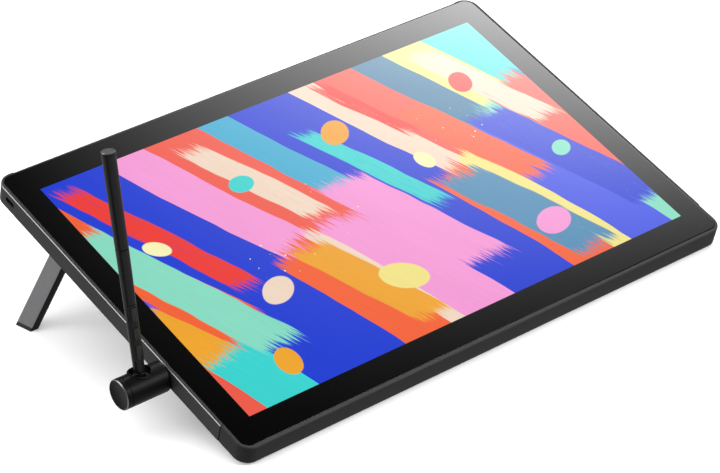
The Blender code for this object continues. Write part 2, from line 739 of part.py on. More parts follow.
def make_front_barrel(pen):
    heights = (NOSE_TOP + GAP, SEAM_HEIGHT)
    barrel = sleeve("pen_front_barrel", pen, heights, 0.0, -PEN_WALL, "pen_black")
    low, high = PLATE_HEIGHTS
    half_width = PLATE_HALF_WIDTH + GAP
    window = pill_block("cut_plate_window", pen, half_width, (low - GAP, high + GAP), 0.0020)
    combine(barrel, window)


def make_button_plate(pen):
    low, high = PLATE_HEIGHTS
    plate = sleeve("pen_button_plate", pen, (low - 0.0020, high + 0.0020), 0.00035, -0.0005, "pen_black")
    kept = pill_block("keep_plate", pen, PLATE_HALF_WIDTH, PLATE_HEIGHTS, 0.0018)
    combine(plate, kept, "INTERSECT")
    hole_half = BUTTON_HALF_WIDTH + GAP
    for index, (button_low, button_high) in enumerate(BUTTON_HEIGHTS):
        heights = (button_low - GAP, button_high + GAP)
        combine(plate, pill_block(f"cut_button_hole_{index + 1}", pen, hole_half, heights, 0.0016))


def make_pen_buttons(pen):
    for word, (low, high) in zip(("lower", "middle", "upper"), BUTTON_HEIGHTS):
        heights = (low - 0.0010, high + 0.0010)
        button = sleeve(f"pen_button_{word}", pen, heights, 0.00065, -0.0003, "button_black")
        kept = pill_block(f"keep_button_{word}", pen, BUTTON_HALF_WIDTH, (low, high), 0.0013)
        combine(button, kept, "INTERSECT")


def make_nose_and_nib(pen):
    outside = [
        (0.0022, NOSE_TOP), (FRONT_RADIUS - 0.00005, NOSE_TOP), (0.0031, 0.0115), (0.0026, 0.0080),
        (0.0019, 0.0045), (0.0012, 0.0016),
    ]
    inside = [(0.0010, 0.0016), (0.0010, 0.0090)]
    turned("pen_nose_cone", pen, (0, 0, 0), [*outside, *inside], "pen_black", hollow=True)
    turned(
        "pen_nib", pen, (0, 0, 0),
        [(0.0, 0.0150), (0.0007, 0.0150), (0.0007, 0.0010), (0.0004, 0.0002), (0.0, 0.0)],
        "plastic_grey", segments=12,
    )


def make_rear_barrel(pen):
    cap_low = PEN_LENGTH - 0.0015
    top = cap_low - GAP
    bottom = SEAM_HEIGHT + GAP
    profile = [
        (TOP_RADIUS - PEN_WALL, top), (TOP_RADIUS, top),
        (SEAM_RADIUS, bottom), (SEAM_RADIUS - PEN_WALL, bottom),
    ]
    turned("pen_rear_barrel", pen, (0, 0, 0), profile, "pen_black", hollow=True)
    turned(
        "pen_end_cap", pen, (0, 0, 0),
        [
            (0.0, PEN_LENGTH), (TOP_RADIUS - 0.0004, PEN_LENGTH), (TOP_RADIUS, PEN_LENGTH - 0.0004),
            (TOP_RADIUS, cap_low), (0.0030, cap_low), (0.0030, cap_low - 0.0040), (0.0, cap_low - 0.0040),
        ],
        "pen_black",
    )


def make_pen_insides(pen):
    """Coil core behind the nib, pressure sensor behind the coil, then the long board."""
    turned(
        "pen_coil_core", pen, (0, 0, 0),
        [(0.0010, 0.0320), (0.0019, 0.0320), (0.0019, 0.0155), (0.0010, 0.0155)],
        "ferrite", hollow=True, segments=16,
    )
    rod("pen_pressure_sensor", pen, (0, 0, 0.0350), 0.0019, 0.0050, "steel", segments=16)
    slab("pen_board", pen, (-0.0018, 0.0018), (0.0002, 0.0010), (0.0380, 0.1100), "board_green")


# ---------------------------------------------------------------- assembly

def build():
    stand = add_frame("tablet_frame", None, (-BOX_CENTRE_X, -BOX_CENTRE_Y, SCREEN_HEIGHT), (TILT, 0, 0))
    reach = 0.4
    below_floor = slab("cut_floor", None, (-reach, reach), (-reach, reach), (-0.1, 0.0))
    below_pad_line = slab("cut_pad_line", None, (-reach, reach), (-reach, reach), (-0.1, PAD_HEIGHT + GAP))
    above_pad = slab("cut_above_pad", None, (-reach, reach), (-reach, reach), (PAD_HEIGHT, 0.3))

    frame = make_front_frame(stand)
    left_rail = make_side_rail(stand, -1, "left")
    make_side_rail(stand, 1, "right")
    cut_wall_openings(stand, frame, left_rail)
    make_display_stack(stand)
    make_chassis_plate(stand)
    make_electronics(stand)
    make_usb_port(stand)
    make_power_button(stand)
    make_back_cover(stand)
    make_cover_screws(stand)
    make_rubber_feet(stand, below_floor)
    for side, word in ((-1, "left"), (1, "right")):
        make_leg(stand, side, word, below_floor, below_pad_line, above_pad)
        make_leg_bracket(stand, side, word)

    holder = add_frame("holder_axis", stand, (HOLDER_X, HOLDER_Y, HOLDER_Z), (-PEN_LEAN, 0, 0))
    make_holder_body(stand, holder)
    make_socket_liner(holder)
    make_holder_cap(holder)
    make_nibs(holder)
    make_holder_plug(stand)

    pen = add_frame("pen_axis", holder, (0, 0, -PEN_SINK), (0, 0, PEN_ROLL))
    make_front_barrel(pen)
    make_button_plate(pen)
    make_pen_buttons(pen)
    make_nose_and_nib(pen)
    make_rear_barrel(pen)
    make_pen_insides(pen)


clear_scene()
PARTS = make_collection("pen_display_tablet")
CUTTERS = make_collection("cutters")
SURFACES = {name: make_finish(name) for name in FINISHES}
build()
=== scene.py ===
import json
import math

import bmesh
import bpy
from mathutils import Matrix, Vector


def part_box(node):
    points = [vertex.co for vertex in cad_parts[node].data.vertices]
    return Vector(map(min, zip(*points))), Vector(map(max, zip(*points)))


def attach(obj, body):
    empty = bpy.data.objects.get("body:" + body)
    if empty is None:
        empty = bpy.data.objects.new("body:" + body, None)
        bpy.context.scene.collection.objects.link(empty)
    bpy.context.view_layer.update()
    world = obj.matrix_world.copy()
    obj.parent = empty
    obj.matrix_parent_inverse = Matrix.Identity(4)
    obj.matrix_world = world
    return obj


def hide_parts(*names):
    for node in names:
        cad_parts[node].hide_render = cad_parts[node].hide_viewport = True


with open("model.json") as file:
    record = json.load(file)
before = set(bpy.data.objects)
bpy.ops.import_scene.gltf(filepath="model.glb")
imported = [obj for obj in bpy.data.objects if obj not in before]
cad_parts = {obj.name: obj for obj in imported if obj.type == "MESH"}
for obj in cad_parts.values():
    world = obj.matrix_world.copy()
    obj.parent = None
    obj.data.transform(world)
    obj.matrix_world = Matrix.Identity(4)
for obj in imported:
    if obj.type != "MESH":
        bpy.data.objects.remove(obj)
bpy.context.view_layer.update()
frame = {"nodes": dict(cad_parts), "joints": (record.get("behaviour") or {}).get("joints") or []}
JOINTS = {joint["name"]: joint for joint in frame["joints"]}

# Sizes in metres, in the frame of the piece they belong to. GLASS_GAP is also the leg's gap over its pad.
GAP = 0.0003
GLASS_GAP = 0.0001
SEAM_WIDTH = 0.0005
PICTURE = Vector((0.34468, 0.21542))
PICTURE_CENTRE = Vector((0.0, -0.0003))
GLASS_RADIUS = 0.007
CORNER_RADIUS = 0.0095
WALL_INSET = 0.004
RIM_DROP = 0.0009
RIM_WIDTH = 0.0012
RAIL_SEAM = -0.106
RAIL_REAR_END = -0.178
COVER_INSET = 0.006
COVER_SLOPE = 0.0039
TROUGH_X = (0.0745, 0.169)
TROUGH_HALF_WIDTH = 0.0076
TROUGH_WALL = 0.0014
HINGE_BAY_X = 0.153
HINGE_BAY_HALF_WIDTH = 0.01
SCREW_COUNT = 6
VENT_COUNT = 9
VENT_PITCH = 0.007
LEG_EDGE = 0.0006
LEG_BORE_RADIUS = 0.0013
CORNER_STEPS = 16
ROUND_STEPS = 96

# Turns that lay a shape's own Z along the tablet's X or Y.
ALONG_X = Matrix(((0, 0, 1, 0), (1, 0, 0, 0), (0, 1, 0, 0), (0, 0, 0, 1)))
ALONG_Y = Matrix(((0, 1, 0, 0), (0, 0, 1, 0), (1, 0, 0, 0), (0, 0, 0, 1)))


# ---- frames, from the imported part

def basis(origin, x, y, z):
    """A frame at origin with the given axes."""
    return Matrix.Translation(origin) @ Matrix((x, y, z)).transposed().to_4x4()


def box_in(place, *nodes):
    """Lowest and highest corners of CAD nodes, measured along the axes of a frame."""
    inverse = place.inverted()
    points = [inverse @ vertex.co for node in nodes for vertex in frame["nodes"][node].data.vertices]
    return Vector(map(min, zip(*points))), Vector(map(max, zip(*points)))


def tablet_frame():
    """Origin in the middle of the glass's face, +X right, +Y up the picture, +Z out of the glass."""
    right = Vector((1, 0, 0))
    rise = Vector(JOINTS["leg_left_fold"]["axis"]).normalized()
    turn = basis((0, 0, 0), right, rise, right.cross(rise))
    low, high = box_in(turn, "cover_glass")
    return turn @ Matrix.Translation(((low.x + high.x) / 2, (low.y + high.y) / 2, high.z))


def leg_frame(side, word):
    """Origin on the hinge pin, Y along it and Z up the leg."""
    joint = JOINTS[f"leg_{word}_fold"]
    splay = math.radians(max(map(abs, joint["range_deg"])) - 90)
    turn = TABLET.to_3x3().to_4x4() @ Matrix.Rotation(-side * splay, 4, "Y")
    return Matrix.Translation(joint["pos_m"]) @ turn


def holder_frame():
    """Origin where the pen's line crosses the post's, X along the post and Z up the pen."""
    low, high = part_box("holder_cap")
    middle = (low + high) / 2
    low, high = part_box("pen_end_cap")
    middle.x = (low.x + high.x) / 2
    right = Vector((1, 0, 0))
    up = Vector(JOINTS["pen_lift"]["axis"]).normalized()
    return basis(middle, right, up.cross(right), up)


def pen_frame():
    """Origin at the nib's tip, Z up the pen and Y from its buttons to its back."""
    low, _ = box_in(HOLDER, "pen_nib")
    up = Vector(JOINTS["pen_lift"]["axis"]).normalized()
    press = Vector(JOINTS["pen_button_middle_press"]["axis"])
    press = (press - up * press.dot(up)).normalized()
    return basis(HOLDER @ Vector((0, 0, low.z)), press.cross(up), press, up)


TABLET = tablet_frame()
HOLDER = holder_frame()
PEN = pen_frame()


# ---- node materials

def linear(red, green, blue):
    """A colour given in screen values from 0 to 255."""
    values = [value / 255 for value in (red, green, blue)]
    return [v / 12.92 if v <= 0.04045 else ((v + 0.055) / 1.055) ** 2.4 for v in values]


class Tree:
    """Short forms for building one material's nodes."""

    def __init__(self, name):
        self.material = bpy.data.materials.new(name)
        self.material.use_nodes = True
        self.nodes = self.material.node_tree.nodes
        self.links = self.material.node_tree.links
        self.shader = self.nodes["Principled BSDF"]

    def feed(self, value, socket):
        if isinstance(value, bpy.types.NodeSocket):
            self.links.new(value, socket)
        else:
            socket.default_value = value

    def node(self, kind, **inputs):
        """A new node, its named inputs set to values or fed from sockets."""
        node = self.nodes.new("ShaderNode" + kind)
        for name, value in inputs.items():
            self.feed(value, node.inputs[name.replace("_", " ")])
        return node

    def drive(self, name, value):
        """Feeds one of the shader's sockets from a node."""
        self.links.new(value, self.shader.inputs[name])

    def set(self, **values):
        for name, value in values.items():
            self.shader.inputs[name.replace("_", " ")].default_value = value

    def math(self, operation, *values):
        node = self.node("Math")
        node.operation = operation
        for value, socket in zip(values, node.inputs):
            self.feed(value, socket)
        return node.outputs[0]

    def times(self, first, second):
        return self.math("MULTIPLY", first, second)

    def line(self, value, slope, offset):
        return self.math("MULTIPLY_ADD", value, slope, offset)

    def within(self, value, low, high):
        return self.math("MINIMUM", self.math("MAXIMUM", value, low), high)

    def smooth(self, value, start, end):
        """0 before start and 1 after end, with a soft turn between."""
        node = self.node("MapRange", Value=value, From_Min=start, From_Max=end)
        node.interpolation_type = "SMOOTHSTEP"
        return node.outputs[0]

    def remap(self, value, low, high):
        """A value from 0 to 1 stretched to run from low to high."""
        return self.node("MapRange", Value=value, To_Min=low, To_Max=high).outputs[0]

    def mix(self, share, first, second, blend="MIX"):
        node = self.node("Mix")
        node.data_type = "RGBA"
        node.blend_type = blend
        for value, socket in ((share, node.inputs[0]), (first, node.inputs[6]), (second, node.inputs[7])):
            self.feed((*value, 1.0) if isinstance(value, list) else value, socket)
        return node.outputs[2]

    def place(self):
        return self.node("TexCoord").outputs["Object"]

    def turned(self, vector, angle=0.0, scale=(1.0, 1.0, 1.0), shift=(0.0, 0.0, 0.0)):
        node = self.node("Mapping", Vector=vector, Location=shift, Rotation=(0, 0, angle), Scale=scale)
        return node.outputs[0]

    def noise(self, vector, scale, detail=3.0, rough=0.55):
        node = self.node("TexNoise", Vector=vector, Scale=scale, Detail=detail, Roughness=rough)
        return node.outputs["Fac"]

    def cells(self, vector, scale):
        """Distance to the nearest of many scattered points, and a random value for each point."""
        node = self.node("TexVoronoi", Vector=vector, Scale=scale)
        separate = self.node("SeparateColor", Color=node.outputs["Color"])
        return node.outputs["Distance"], separate.outputs[0]

    def parts(self, vector):
        return self.node("SeparateXYZ", Vector=vector).outputs

    def bump(self, height, depth):
        self.drive("Normal", self.node("Bump", Distance=depth, Height=height).outputs[0])


def moulded(name, colour, roughness, grain=0.0006, spread=0.18, depth=0.000012, metallic=0.0, specular=0.5):
    """A fine-grained surface: tone, gloss and relief all follow a grain of the given size."""
    tree = Tree(name)
    place = tree.place()
    fine = tree.noise(place, 1 / grain, detail=2.0)
    broad = tree.noise(place, 40.0, detail=3.0)
    dark = [c * (1 - spread) for c in colour]
    light = [c * (1 + spread) for c in colour]
    tree.drive("Base Color", tree.mix(fine, dark, light))
    worn = tree.line(broad, 0.08, roughness - 0.04)
    tree.drive("Roughness", tree.line(fine, 0.1, tree.math("SUBTRACT", worn, 0.05)))
    tree.bump(fine, depth)
    tree.set(Metallic=metallic, Specular_IOR_Level=specular)
    return tree.material


def brushed(name, colour, roughness, metallic=1.0):
    """Bare metal with short fine scratches along the tablet's length."""
    tree = Tree(name)
    scratches = tree.noise(tree.turned(tree.place(), scale=(1, 24, 24)), 350.0, detail=4.0)
    stains = tree.noise(tree.place(), 60.0)
    dark = [c * 0.82 for c in colour]
    tree.drive("Base Color", tree.mix(stains, dark, colour))
    tree.drive("Roughness", tree.remap(scratches, roughness - 0.08, roughness + 0.12))
    tree.bump(scratches, 0.000004)
    tree.set(Metallic=metallic)
    return tree.material


def circuit_board(name):
    """Green mask over fine copper traces."""
    tree = Tree(name)
    place = tree.place()
    distance, chosen = tree.cells(place, 420.0)
    copper = tree.math("LESS_THAN", chosen, 0.22)
    traces = tree.smooth(tree.noise(tree.turned(place, scale=(1, 6, 1)), 260.0), 0.5, 0.56)
    green = tree.mix(traces, [0.01, 0.075, 0.03], [0.022, 0.13, 0.055])
    pads = tree.times(copper, tree.math("LESS_THAN", distance, 0.35))
    tree.drive("Base Color", tree.mix(pads, green, [0.55, 0.48, 0.25]))
    tree.drive("Roughness", tree.remap(traces, 0.32, 0.46))
    tree.bump(traces, 0.00002)
    return tree.material


# ---- the picture on the screen

ROYAL = linear(33, 64, 216)
PERIWINKLE = linear(70, 90, 232)
ORANGE = linear(250, 103, 58)
CORAL = linear(246, 96, 78)
SCARLET = linear(244, 62, 52)
PINK = linear(250, 160, 220)
CREAM = linear(246, 222, 200)
PALE = linear(248, 234, 140)
IVORY = linear(254, 250, 190)
AMBER = linear(245, 170, 48)
MINT = linear(140, 226, 200)
TURQUOISE = linear(62, 218, 214)
SKY = linear(70, 178, 214)
SLATE = linear(84, 146, 186)
PETROL = linear(62, 128, 164)

# The brush's direction in degrees from the picture's right, and the reach of its ground in millimetres.
SLANT = 112.0
REACH = 240


class Picture(Tree):
    """An abstract of broad slanting brush strokes, in millimetres from the picture's centre."""

    def __init__(self, name):
        super().__init__(name)
        source = self.node("UVMap")
        source.uv_map = "picture"
        size = (PICTURE.x * 1000, PICTURE.y * 1000, 1)
        self.spot = self.turned(source.outputs[0], scale=size, shift=(-size[0] / 2, -size[1] / 2, 0))
        self.u, self.v, _ = self.parts(self.spot)
        along = self.turned(self.spot, math.radians(-SLANT))
        drawn_out = self.turned(along, scale=(0.3, 1.0, 1))
        self.bristle = self.noise(self.turned(along, scale=(0.035, 1.1, 1)), 1.0, 4.0, 0.65)
        self.wash = self.noise(drawn_out, 0.045, 2.0, 0.5)
        self.paper = self.noise(self.spot, 1.9, 2.0, 0.7)
        self.ragged = self.math("SUBTRACT", self.noise(drawn_out, 0.07, 2.0), 0.5)
        self.colour = None

    def across(self, lean, bend=0.0, wobble=5.0):
        """Distance across strokes that lean to the left going up, by lean for each unit of height."""
        slid = self.line(self.v, lean, self.u)
        bent = self.line(self.times(self.v, self.v), bend, slid)
        return self.line(self.ragged, wobble, bent)

    def stripes(self, value, stops):
        """Bands of flat colour over the whole reach, each from its stop up to the next."""
        node = self.node("ValToRGB")
        ramp = node.color_ramp
        ramp.interpolation = "CONSTANT"
        while len(ramp.elements) < len(stops):
            ramp.elements.new(0.5)
        for element, (start, colour) in zip(ramp.elements, stops):
            element.position = (start + REACH) / (2 * REACH)
            element.color = (*colour, 1)
        self.feed(self.math("DIVIDE", self.math("ADD", value, REACH), 2 * REACH), node.inputs[0])
        return node.outputs[0]

    def lay(self, mask, colour):
        self.colour = self.mix(mask, self.colour, colour)

    def dry(self, mask, amount):
        """Breaks a mask up along the bristles, as a brush does when it runs dry."""
        gate = self.line(self.paper, 0.5, self.times(self.bristle, 0.7))
        return self.times(mask, self.smooth(gate, amount - 0.06, amount + 0.06))

    def inside(self, value, low, high, soft=0.5):
        rise = self.smooth(value, low - soft, low + soft)
        fall = self.smooth(value, high + soft, high - soft)
        return self.times(rise, fall)

    def ellipse(self, u, v, half_length, half_width, degrees, wobble):
        """1 inside an ellipse with a wavering rim, 0 outside it."""
        angle = math.radians(-degrees)
        c, s = math.cos(angle), math.sin(angle)
        laid = self.turned(self.spot, angle, shift=(s * v - c * u, -s * u - c * v, 0))
        length = self.node("VectorMath")
        length.operation = "LENGTH"
        self.feed(self.turned(laid, scale=(1 / half_length, 1 / half_width, 0)), length.inputs[0])
        value = self.line(self.ragged, wobble, length.outputs["Value"])
        soft = 0.35 / half_width
        return self.smooth(value, 1 + soft, 1 - soft)

    def specks(self, scale, share, size, area):
        distance, chosen = self.cells(self.spot, scale)
        near = self.math("LESS_THAN", distance, self.times(chosen, size / share))
        few = self.math("LESS_THAN", chosen, share)
        return self.times(self.times(near, few), area)


def picture_ground(art):
    """Two fields of broad bands that meet along a wavering edge."""
    low_half = art.stripes(art.across(0.4, 0.0006), [
        (-REACH, CORAL), (-196, TURQUOISE), (-158, ROYAL), (-92, ORANGE), (-58, CREAM), (-46, PINK),
        (-6, ROYAL), (44, ORANGE), (76, PALE), (92, PERIWINKLE), (128, MINT), (150, CORAL), (190, SLATE),
    ])
    high_half = art.stripes(art.across(0.46, -0.0004), [
        (-REACH, AMBER), (-176, ORANGE), (-136, ROYAL), (-84, PINK), (-52, CORAL), (-10, SKY),
        (14, ROYAL), (62, CREAM), (84, CORAL), (116, PETROL), (142, PALE), (176, TURQUOISE),
    ])
    edge = art.line(art.u, -0.26, art.v)
    edge = art.line(art.math("SINE", art.times(art.u, 0.03)), 15.0, edge)
    edge = art.line(art.math("SUBTRACT", art.bristle, 0.5), 60.0, edge)
    art.colour = art.mix(art.smooth(edge, -9, -3), low_half, high_half)


# Offset across the slant, half width, low end, high end and how dry the brush was.
STROKES = [
    (-150, 15, -70, 60, 0.44, MINT), (-118, 9, -20, 96, 0.46, SCARLET), (-64, 13, -96, -14, 0.42, AMBER),
    (-30, 10, 8, 92, 0.45, CREAM), (6, 18, -74, 24, 0.4, PINK), (34, 8, -20, 70, 0.47, TURQUOISE),
    (66, 17, -100, -8, 0.42, SLATE), (104, 12, -30, 58, 0.44, ORANGE), (134, 16, -84, 30, 0.43, ROYAL),
    (162, 11, 10, 96, 0.45, CREAM), (-184, 12, -10, 88, 0.43, PERIWINKLE), (84, 6, 40, 104, 0.48, SCARLET),
]


def picture_strokes(art):
    """Shorter strokes over the ground, each running dry along its bristles."""
    lane = art.across(0.42, 0.0001, 7.0)
    frayed = art.line(art.math("SUBTRACT", art.bristle, 0.5), 46.0, art.v)
    for offset, half_width, low, high, dryness, colour in STROKES:
        body = art.inside(lane, offset - half_width, offset + half_width, 0.6)
        length = art.inside(frayed, low, high, 3.0)
        art.lay(art.dry(art.times(body, length), dryness), colour)


def picture_dabs(art):
    """A few round dabs of paint and two drifts of fine spatter."""
    dabs = [
        (-96, -34, 13, 9, 30, CREAM), (-60, 52, 9, 7, 10, TURQUOISE), (-20, -62, 16, 11, 150, PALE),
        (22, 62, 12, 9, 40, AMBER), (58, 14, 8, 6, 100, IVORY), (96, -70, 14, 10, 20, PINK),
        (128, 62, 10, 8, 60, SCARLET), (-140, 30, 9, 6, 140, IVORY), (-126, -84, 11, 8, 80, AMBER),
        (146, -20, 8, 6, 30, MINT),
    ]
    for u, v, half_length, half_width, degrees, colour in dabs:
        art.lay(art.ellipse(u, v, half_length, half_width, degrees, 0.12), colour)
    for u, v, half_length, half_width, degrees in ((-44, 4, 60, 26, 20), (80, 36, 44, 22, 150)):
        area = art.ellipse(u, v, half_length, half_width, degrees, 0.3)
        art.lay(art.specks(0.24, 0.26, 0.16, area), IVORY)
        art.lay(art.specks(0.5, 0.2, 0.17, area), IVORY)


def picture_finish():
    """Lights the strokes, toned by their bristles and wash, behind the glass's gloss."""
    art = Picture("lit_picture")
    picture_ground(art)
    picture_strokes(art)
    picture_dabs(art)
    tone = art.line(art.wash, 0.1, art.times(art.bristle, 0.2))
    art.drive("Emission Color", art.mix(1.0, art.colour, art.math("ADD", tone, 0.85), "MULTIPLY"))
    art.set(Base_Color=(0.001, 0.001, 0.0012, 1), Emission_Strength=0.93, Roughness=0.09, IOR=1.5)
    return art.material


def glass_finish():
    """Glass printed black on its back, its face etched so finely that it only softens reflections."""
    tree = Tree("black_glass")
    smear = tree.noise(tree.place(), 14.0, detail=3.0)
    etched = tree.noise(tree.place(), 2600.0, detail=1.0)
    tree.drive("Base Color", tree.mix(smear, [0.0007, 0.0007, 0.0008], [0.0011, 0.0011, 0.0012]))
    tree.drive("Roughness", tree.remap(smear, 0.08, 0.1))
    tree.bump(etched, 0.0000015)
    tree.set(IOR=1.5)
    return tree.material


FINISHES = {
    "glass": glass_finish(),
    "picture": picture_finish(),
    "housing": moulded("housing_black", [0.024, 0.024, 0.0245], 0.54, 0.0006, 0.2, 0.000012, 0.0, 0.2),
    "rail": moulded("anodised_black", [0.028, 0.028, 0.0285], 0.5, 0.0008, 0.4, 0.00003, 0.0, 0.3),
    "bright_cut": brushed("bright_cut_edge", [0.34, 0.34, 0.35], 0.28),
    "port": brushed("dark_nickel", [0.05, 0.05, 0.052], 0.36),
    "cover": moulded("matt_black", [0.012, 0.012, 0.0125], 0.58, 0.0008, 0.25, 0.00004),
    # The leg's one anodised finish in two copies: lighter grey on the wide faces as painted sheen, near-black
    # on the narrow faces as painted shade.
    "leg": moulded("anodised_grey_painted_sheen", [0.19, 0.19, 0.195], 0.46, 0.0008, 0.18, 0.00002, 0.6),
    "leg_side": moulded("anodised_painted_shade", [0.012, 0.012, 0.0125], 0.6, 0.0008, 0.2, 0.00002, 0.0, 0.2),
    "rubber": moulded("dull_rubber", [0.028, 0.028, 0.028], 0.82, 0.0005, 0.3, 0.00005, 0.0, 0.3),
    "holder": moulded("holder_black", [0.0035, 0.0035, 0.0037], 0.38, 0.0007, 0.45, 0.00004, 0.0, 0.1),
    "pen": moulded("soft_touch_black", [0.004, 0.004, 0.0042], 0.36, 0.0007, 0.3, 0.00002, 0.0, 0.38),
    # A lighter copy of the pen's black for the flat top of its end cap: painted sheen.
    "cap_top_painted_sheen": moulded("satin_cap_painted_sheen", [0.045, 0.045, 0.046], 0.42, 0.0006, 0.2, 0.00001),
    # Bright metal on the rims of the pen's end cap and the holder's cap: a painted highlight.
    "edge_painted_highlight": brushed("bright_metal_painted_highlight", [0.3, 0.3, 0.305], 0.3, 0.8),
    "button": moulded("button_black", [0.012, 0.012, 0.0125], 0.36, 0.0007, 0.2, 0.00001),
    "nib": moulded("nib_grey", [0.05, 0.05, 0.052], 0.5, 0.0004, 0.15, 0.000005),
    "steel": brushed("steel", [0.52, 0.52, 0.54], 0.32),
    "screw": brushed("black_zinc", [0.06, 0.06, 0.063], 0.36),
    "sheet": brushed("sheet_aluminium", [0.62, 0.63, 0.64], 0.38),
    "board": circuit_board("circuit_board"),
    "panel": moulded("panel_grey", [0.28, 0.31, 0.34], 0.35, 0.002, 0.08, 0.000002),
    "diffuser": moulded("light_guide", [0.7, 0.7, 0.68], 0.5, 0.0012, 0.05, 0.00001),
    "plastic": moulded("plastic_grey", [0.055, 0.055, 0.057], 0.5),
    "ferrite": moulded("ferrite", [0.035, 0.033, 0.032], 0.62, 0.0005, 0.3, 0.00002),
}


# ---- shapes

def polar(radius, angle):
    return radius * Vector((math.cos(angle), math.sin(angle)))


def raised(outline, height):
    return [Vector((*point, height)) for point in outline]


def rounded(low, high, radius, steps=CORNER_STEPS):
    """The outline of a round-cornered rectangle, anticlockwise from the end of its front side."""
    left, right = low[0] + radius, high[0] - radius
    front, back = low[1] + radius, high[1] - radius
    points = []
    for x, y, start in ((right, front, -90), (right, back, 0), (left, back, 90), (left, front, 180)):
        for step in range(steps + 1):
            points.append(Vector((x, y)) + polar(radius, math.radians(start + 90 * step / steps)))
    return points


def fillet(inset, height, radius, outward, upward, steps=5, width=None):
    """(inset, height) pairs round a quarter turn that ends a wall: from its face to its rim."""
    pairs = []
    across = outward * (width or radius)
    for step in range(steps + 1):
        angle = math.radians(90 * step / steps)
        pairs.append((inset + across * (1 - math.cos(angle)), height + upward * radius * math.sin(angle)))
    return pairs


def loops_mesh(loops, closed=False, bright=()):
    """A solid through loops of points with equal counts: capped at both ends, or closed on itself.

    The faces that start from a loop's bright points get the second finish.
    """
    shape = bmesh.new()
    rings = [[shape.verts.new(point) for point in loop] for loop in loops]
    pairs = list(zip(rings, rings[1:]))
    if closed:
        pairs.append((rings[-1], rings[0]))
    for first, second in pairs:
        for k in range(len(first)):
            j = (k + 1) % len(first)
            face = shape.faces.new((first[k], first[j], second[j], second[k]))
            face.material_index = 1 if k in bright else 0
    if not closed:
        shape.faces.new(rings[0])
        shape.faces.new(rings[-1])
    bmesh.ops.remove_doubles(shape, verts=shape.verts, dist=1e-7)
    return shape


def prism(outline, low, high, edge=0.0):
    """An outline pulled up from low to high, with its rims broken by a 45 degree edge if asked."""
    def level(inset, height):
        return raised(inset_outline(outline, inset), height)

    if not edge:
        return loops_mesh([level(0, low), level(0, high)])
    return loops_mesh([level(edge, low), level(0, low + edge), level(0, high - edge), level(edge, high)])


def inset_outline(outline, inset):
    """An outline moved inward along its corner normals."""
    if not inset:
        return outline
    moved = []
    for before, here, after in zip(outline[-1:] + outline[:-1], outline, outline[1:] + outline[:1]):
        ahead = after - before
        normal = Vector((ahead.y, -ahead.x)).normalized()
        moved.append(here - normal * inset)
    return moved


def turned(profile, steps=ROUND_STEPS):
    """(radius, height) points turned round Z: a solid if they end on the axis, else closed on itself."""
    shape = bmesh.new()
    angles = [math.tau * k / steps for k in range(steps)]
    rings = []
    for radius, height in profile:
        ring_angles = angles if radius > 0 else [0.0]
        rings.append([
            shape.verts.new((radius * math.cos(angle), radius * math.sin(angle), height))
            for angle in ring_angles
        ])
    pairs = list(zip(rings, rings[1:]))
    if profile[0][0] > 0:
        pairs.append((rings[-1], rings[0]))
    for pair in pairs:
        first, second = [ring if len(ring) > 1 else ring * steps for ring in pair]
        for k in range(steps):
            j = (k + 1) % steps
            corners = dict.fromkeys((first[k], first[j], second[j], second[k]))
            shape.faces.new(list(corners))
    return shape


def cylinder(radius, low, high, steps=ROUND_STEPS):
    return turned([(0, high), (radius, high), (radius, low), (0, low)], steps)


def swept(stations, profile, bright=()):
    """A closed (offset, height) profile carried along stations of (point, outward normal)."""
    loops = [
        [Vector((*(point + normal * offset), height)) for offset, height in profile]
        for point, normal in stations
    ]
    return loops_mesh(loops, bright=bright)


def as_object(name, shape, place=None):
    bmesh.ops.recalc_face_normals(shape, faces=shape.faces)
    mesh = bpy.data.meshes.new(name)
    shape.to_mesh(mesh)
    shape.free()
    item = bpy.data.objects.new(name, mesh)
    bpy.context.scene.collection.objects.link(item)
    item.matrix_world = place or Matrix.Identity(4)
    return item


def settle(item):
    """Makes an object's modifiers part of its mesh."""
    bpy.context.view_layer.update()
    result = bpy.data.meshes.new_from_object(item.evaluated_get(bpy.context.evaluated_depsgraph_get()))
    item.modifiers.clear()
    item.data = result


def combine(item, shape, place, operation="DIFFERENCE"):
    """Cuts a shape out of an object, or joins or keeps what they share."""
    tool = as_object("tool", shape, place)
    modifier = item.modifiers.new("Combine", "BOOLEAN")
    modifier.operation = operation
    modifier.object = tool
    modifier.solver = "EXACT"
    settle(item)
    bpy.data.objects.remove(tool)


def bevelled(item, width, segments=2, angle=35):
    modifier = item.modifiers.new("Edges", "BEVEL")
    modifier.width = width
    modifier.segments = segments
    modifier.limit_method = "ANGLE"
    modifier.angle_limit = math.radians(angle)
    settle(item)


def present(item, finishes, body, node, smooth=32):
    """Gives a finished piece its materials, its shading and its body, and hides the CAD node it stands for.
    """
    item.data.transform(item.matrix_world)
    item.matrix_world = Matrix.Identity(4)
    for index, finish in enumerate(finishes):
        if index < len(item.data.materials):
            item.data.materials[index] = FINISHES[finish]
        else:
            item.data.materials.append(FINISHES[finish])
    item.data.shade_smooth()
    item.data.set_sharp_from_angle(angle=math.radians(smooth))
    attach(item, body)
    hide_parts(node)


def moved(place, x=0.0, y=0.0, z=0.0):
    return place @ Matrix.Translation((x, y, z))


# ---- tablet

HOUSING_LOW, HOUSING_HIGH = box_in(TABLET, "front_frame")
GLASS_LOW, GLASS_HIGH = box_in(TABLET, "cover_glass")
COVER_LOW, COVER_HIGH = box_in(TABLET, "back_cover")
TABLET_X = TABLET @ ALONG_X
TABLET_Y = TABLET @ ALONG_Y


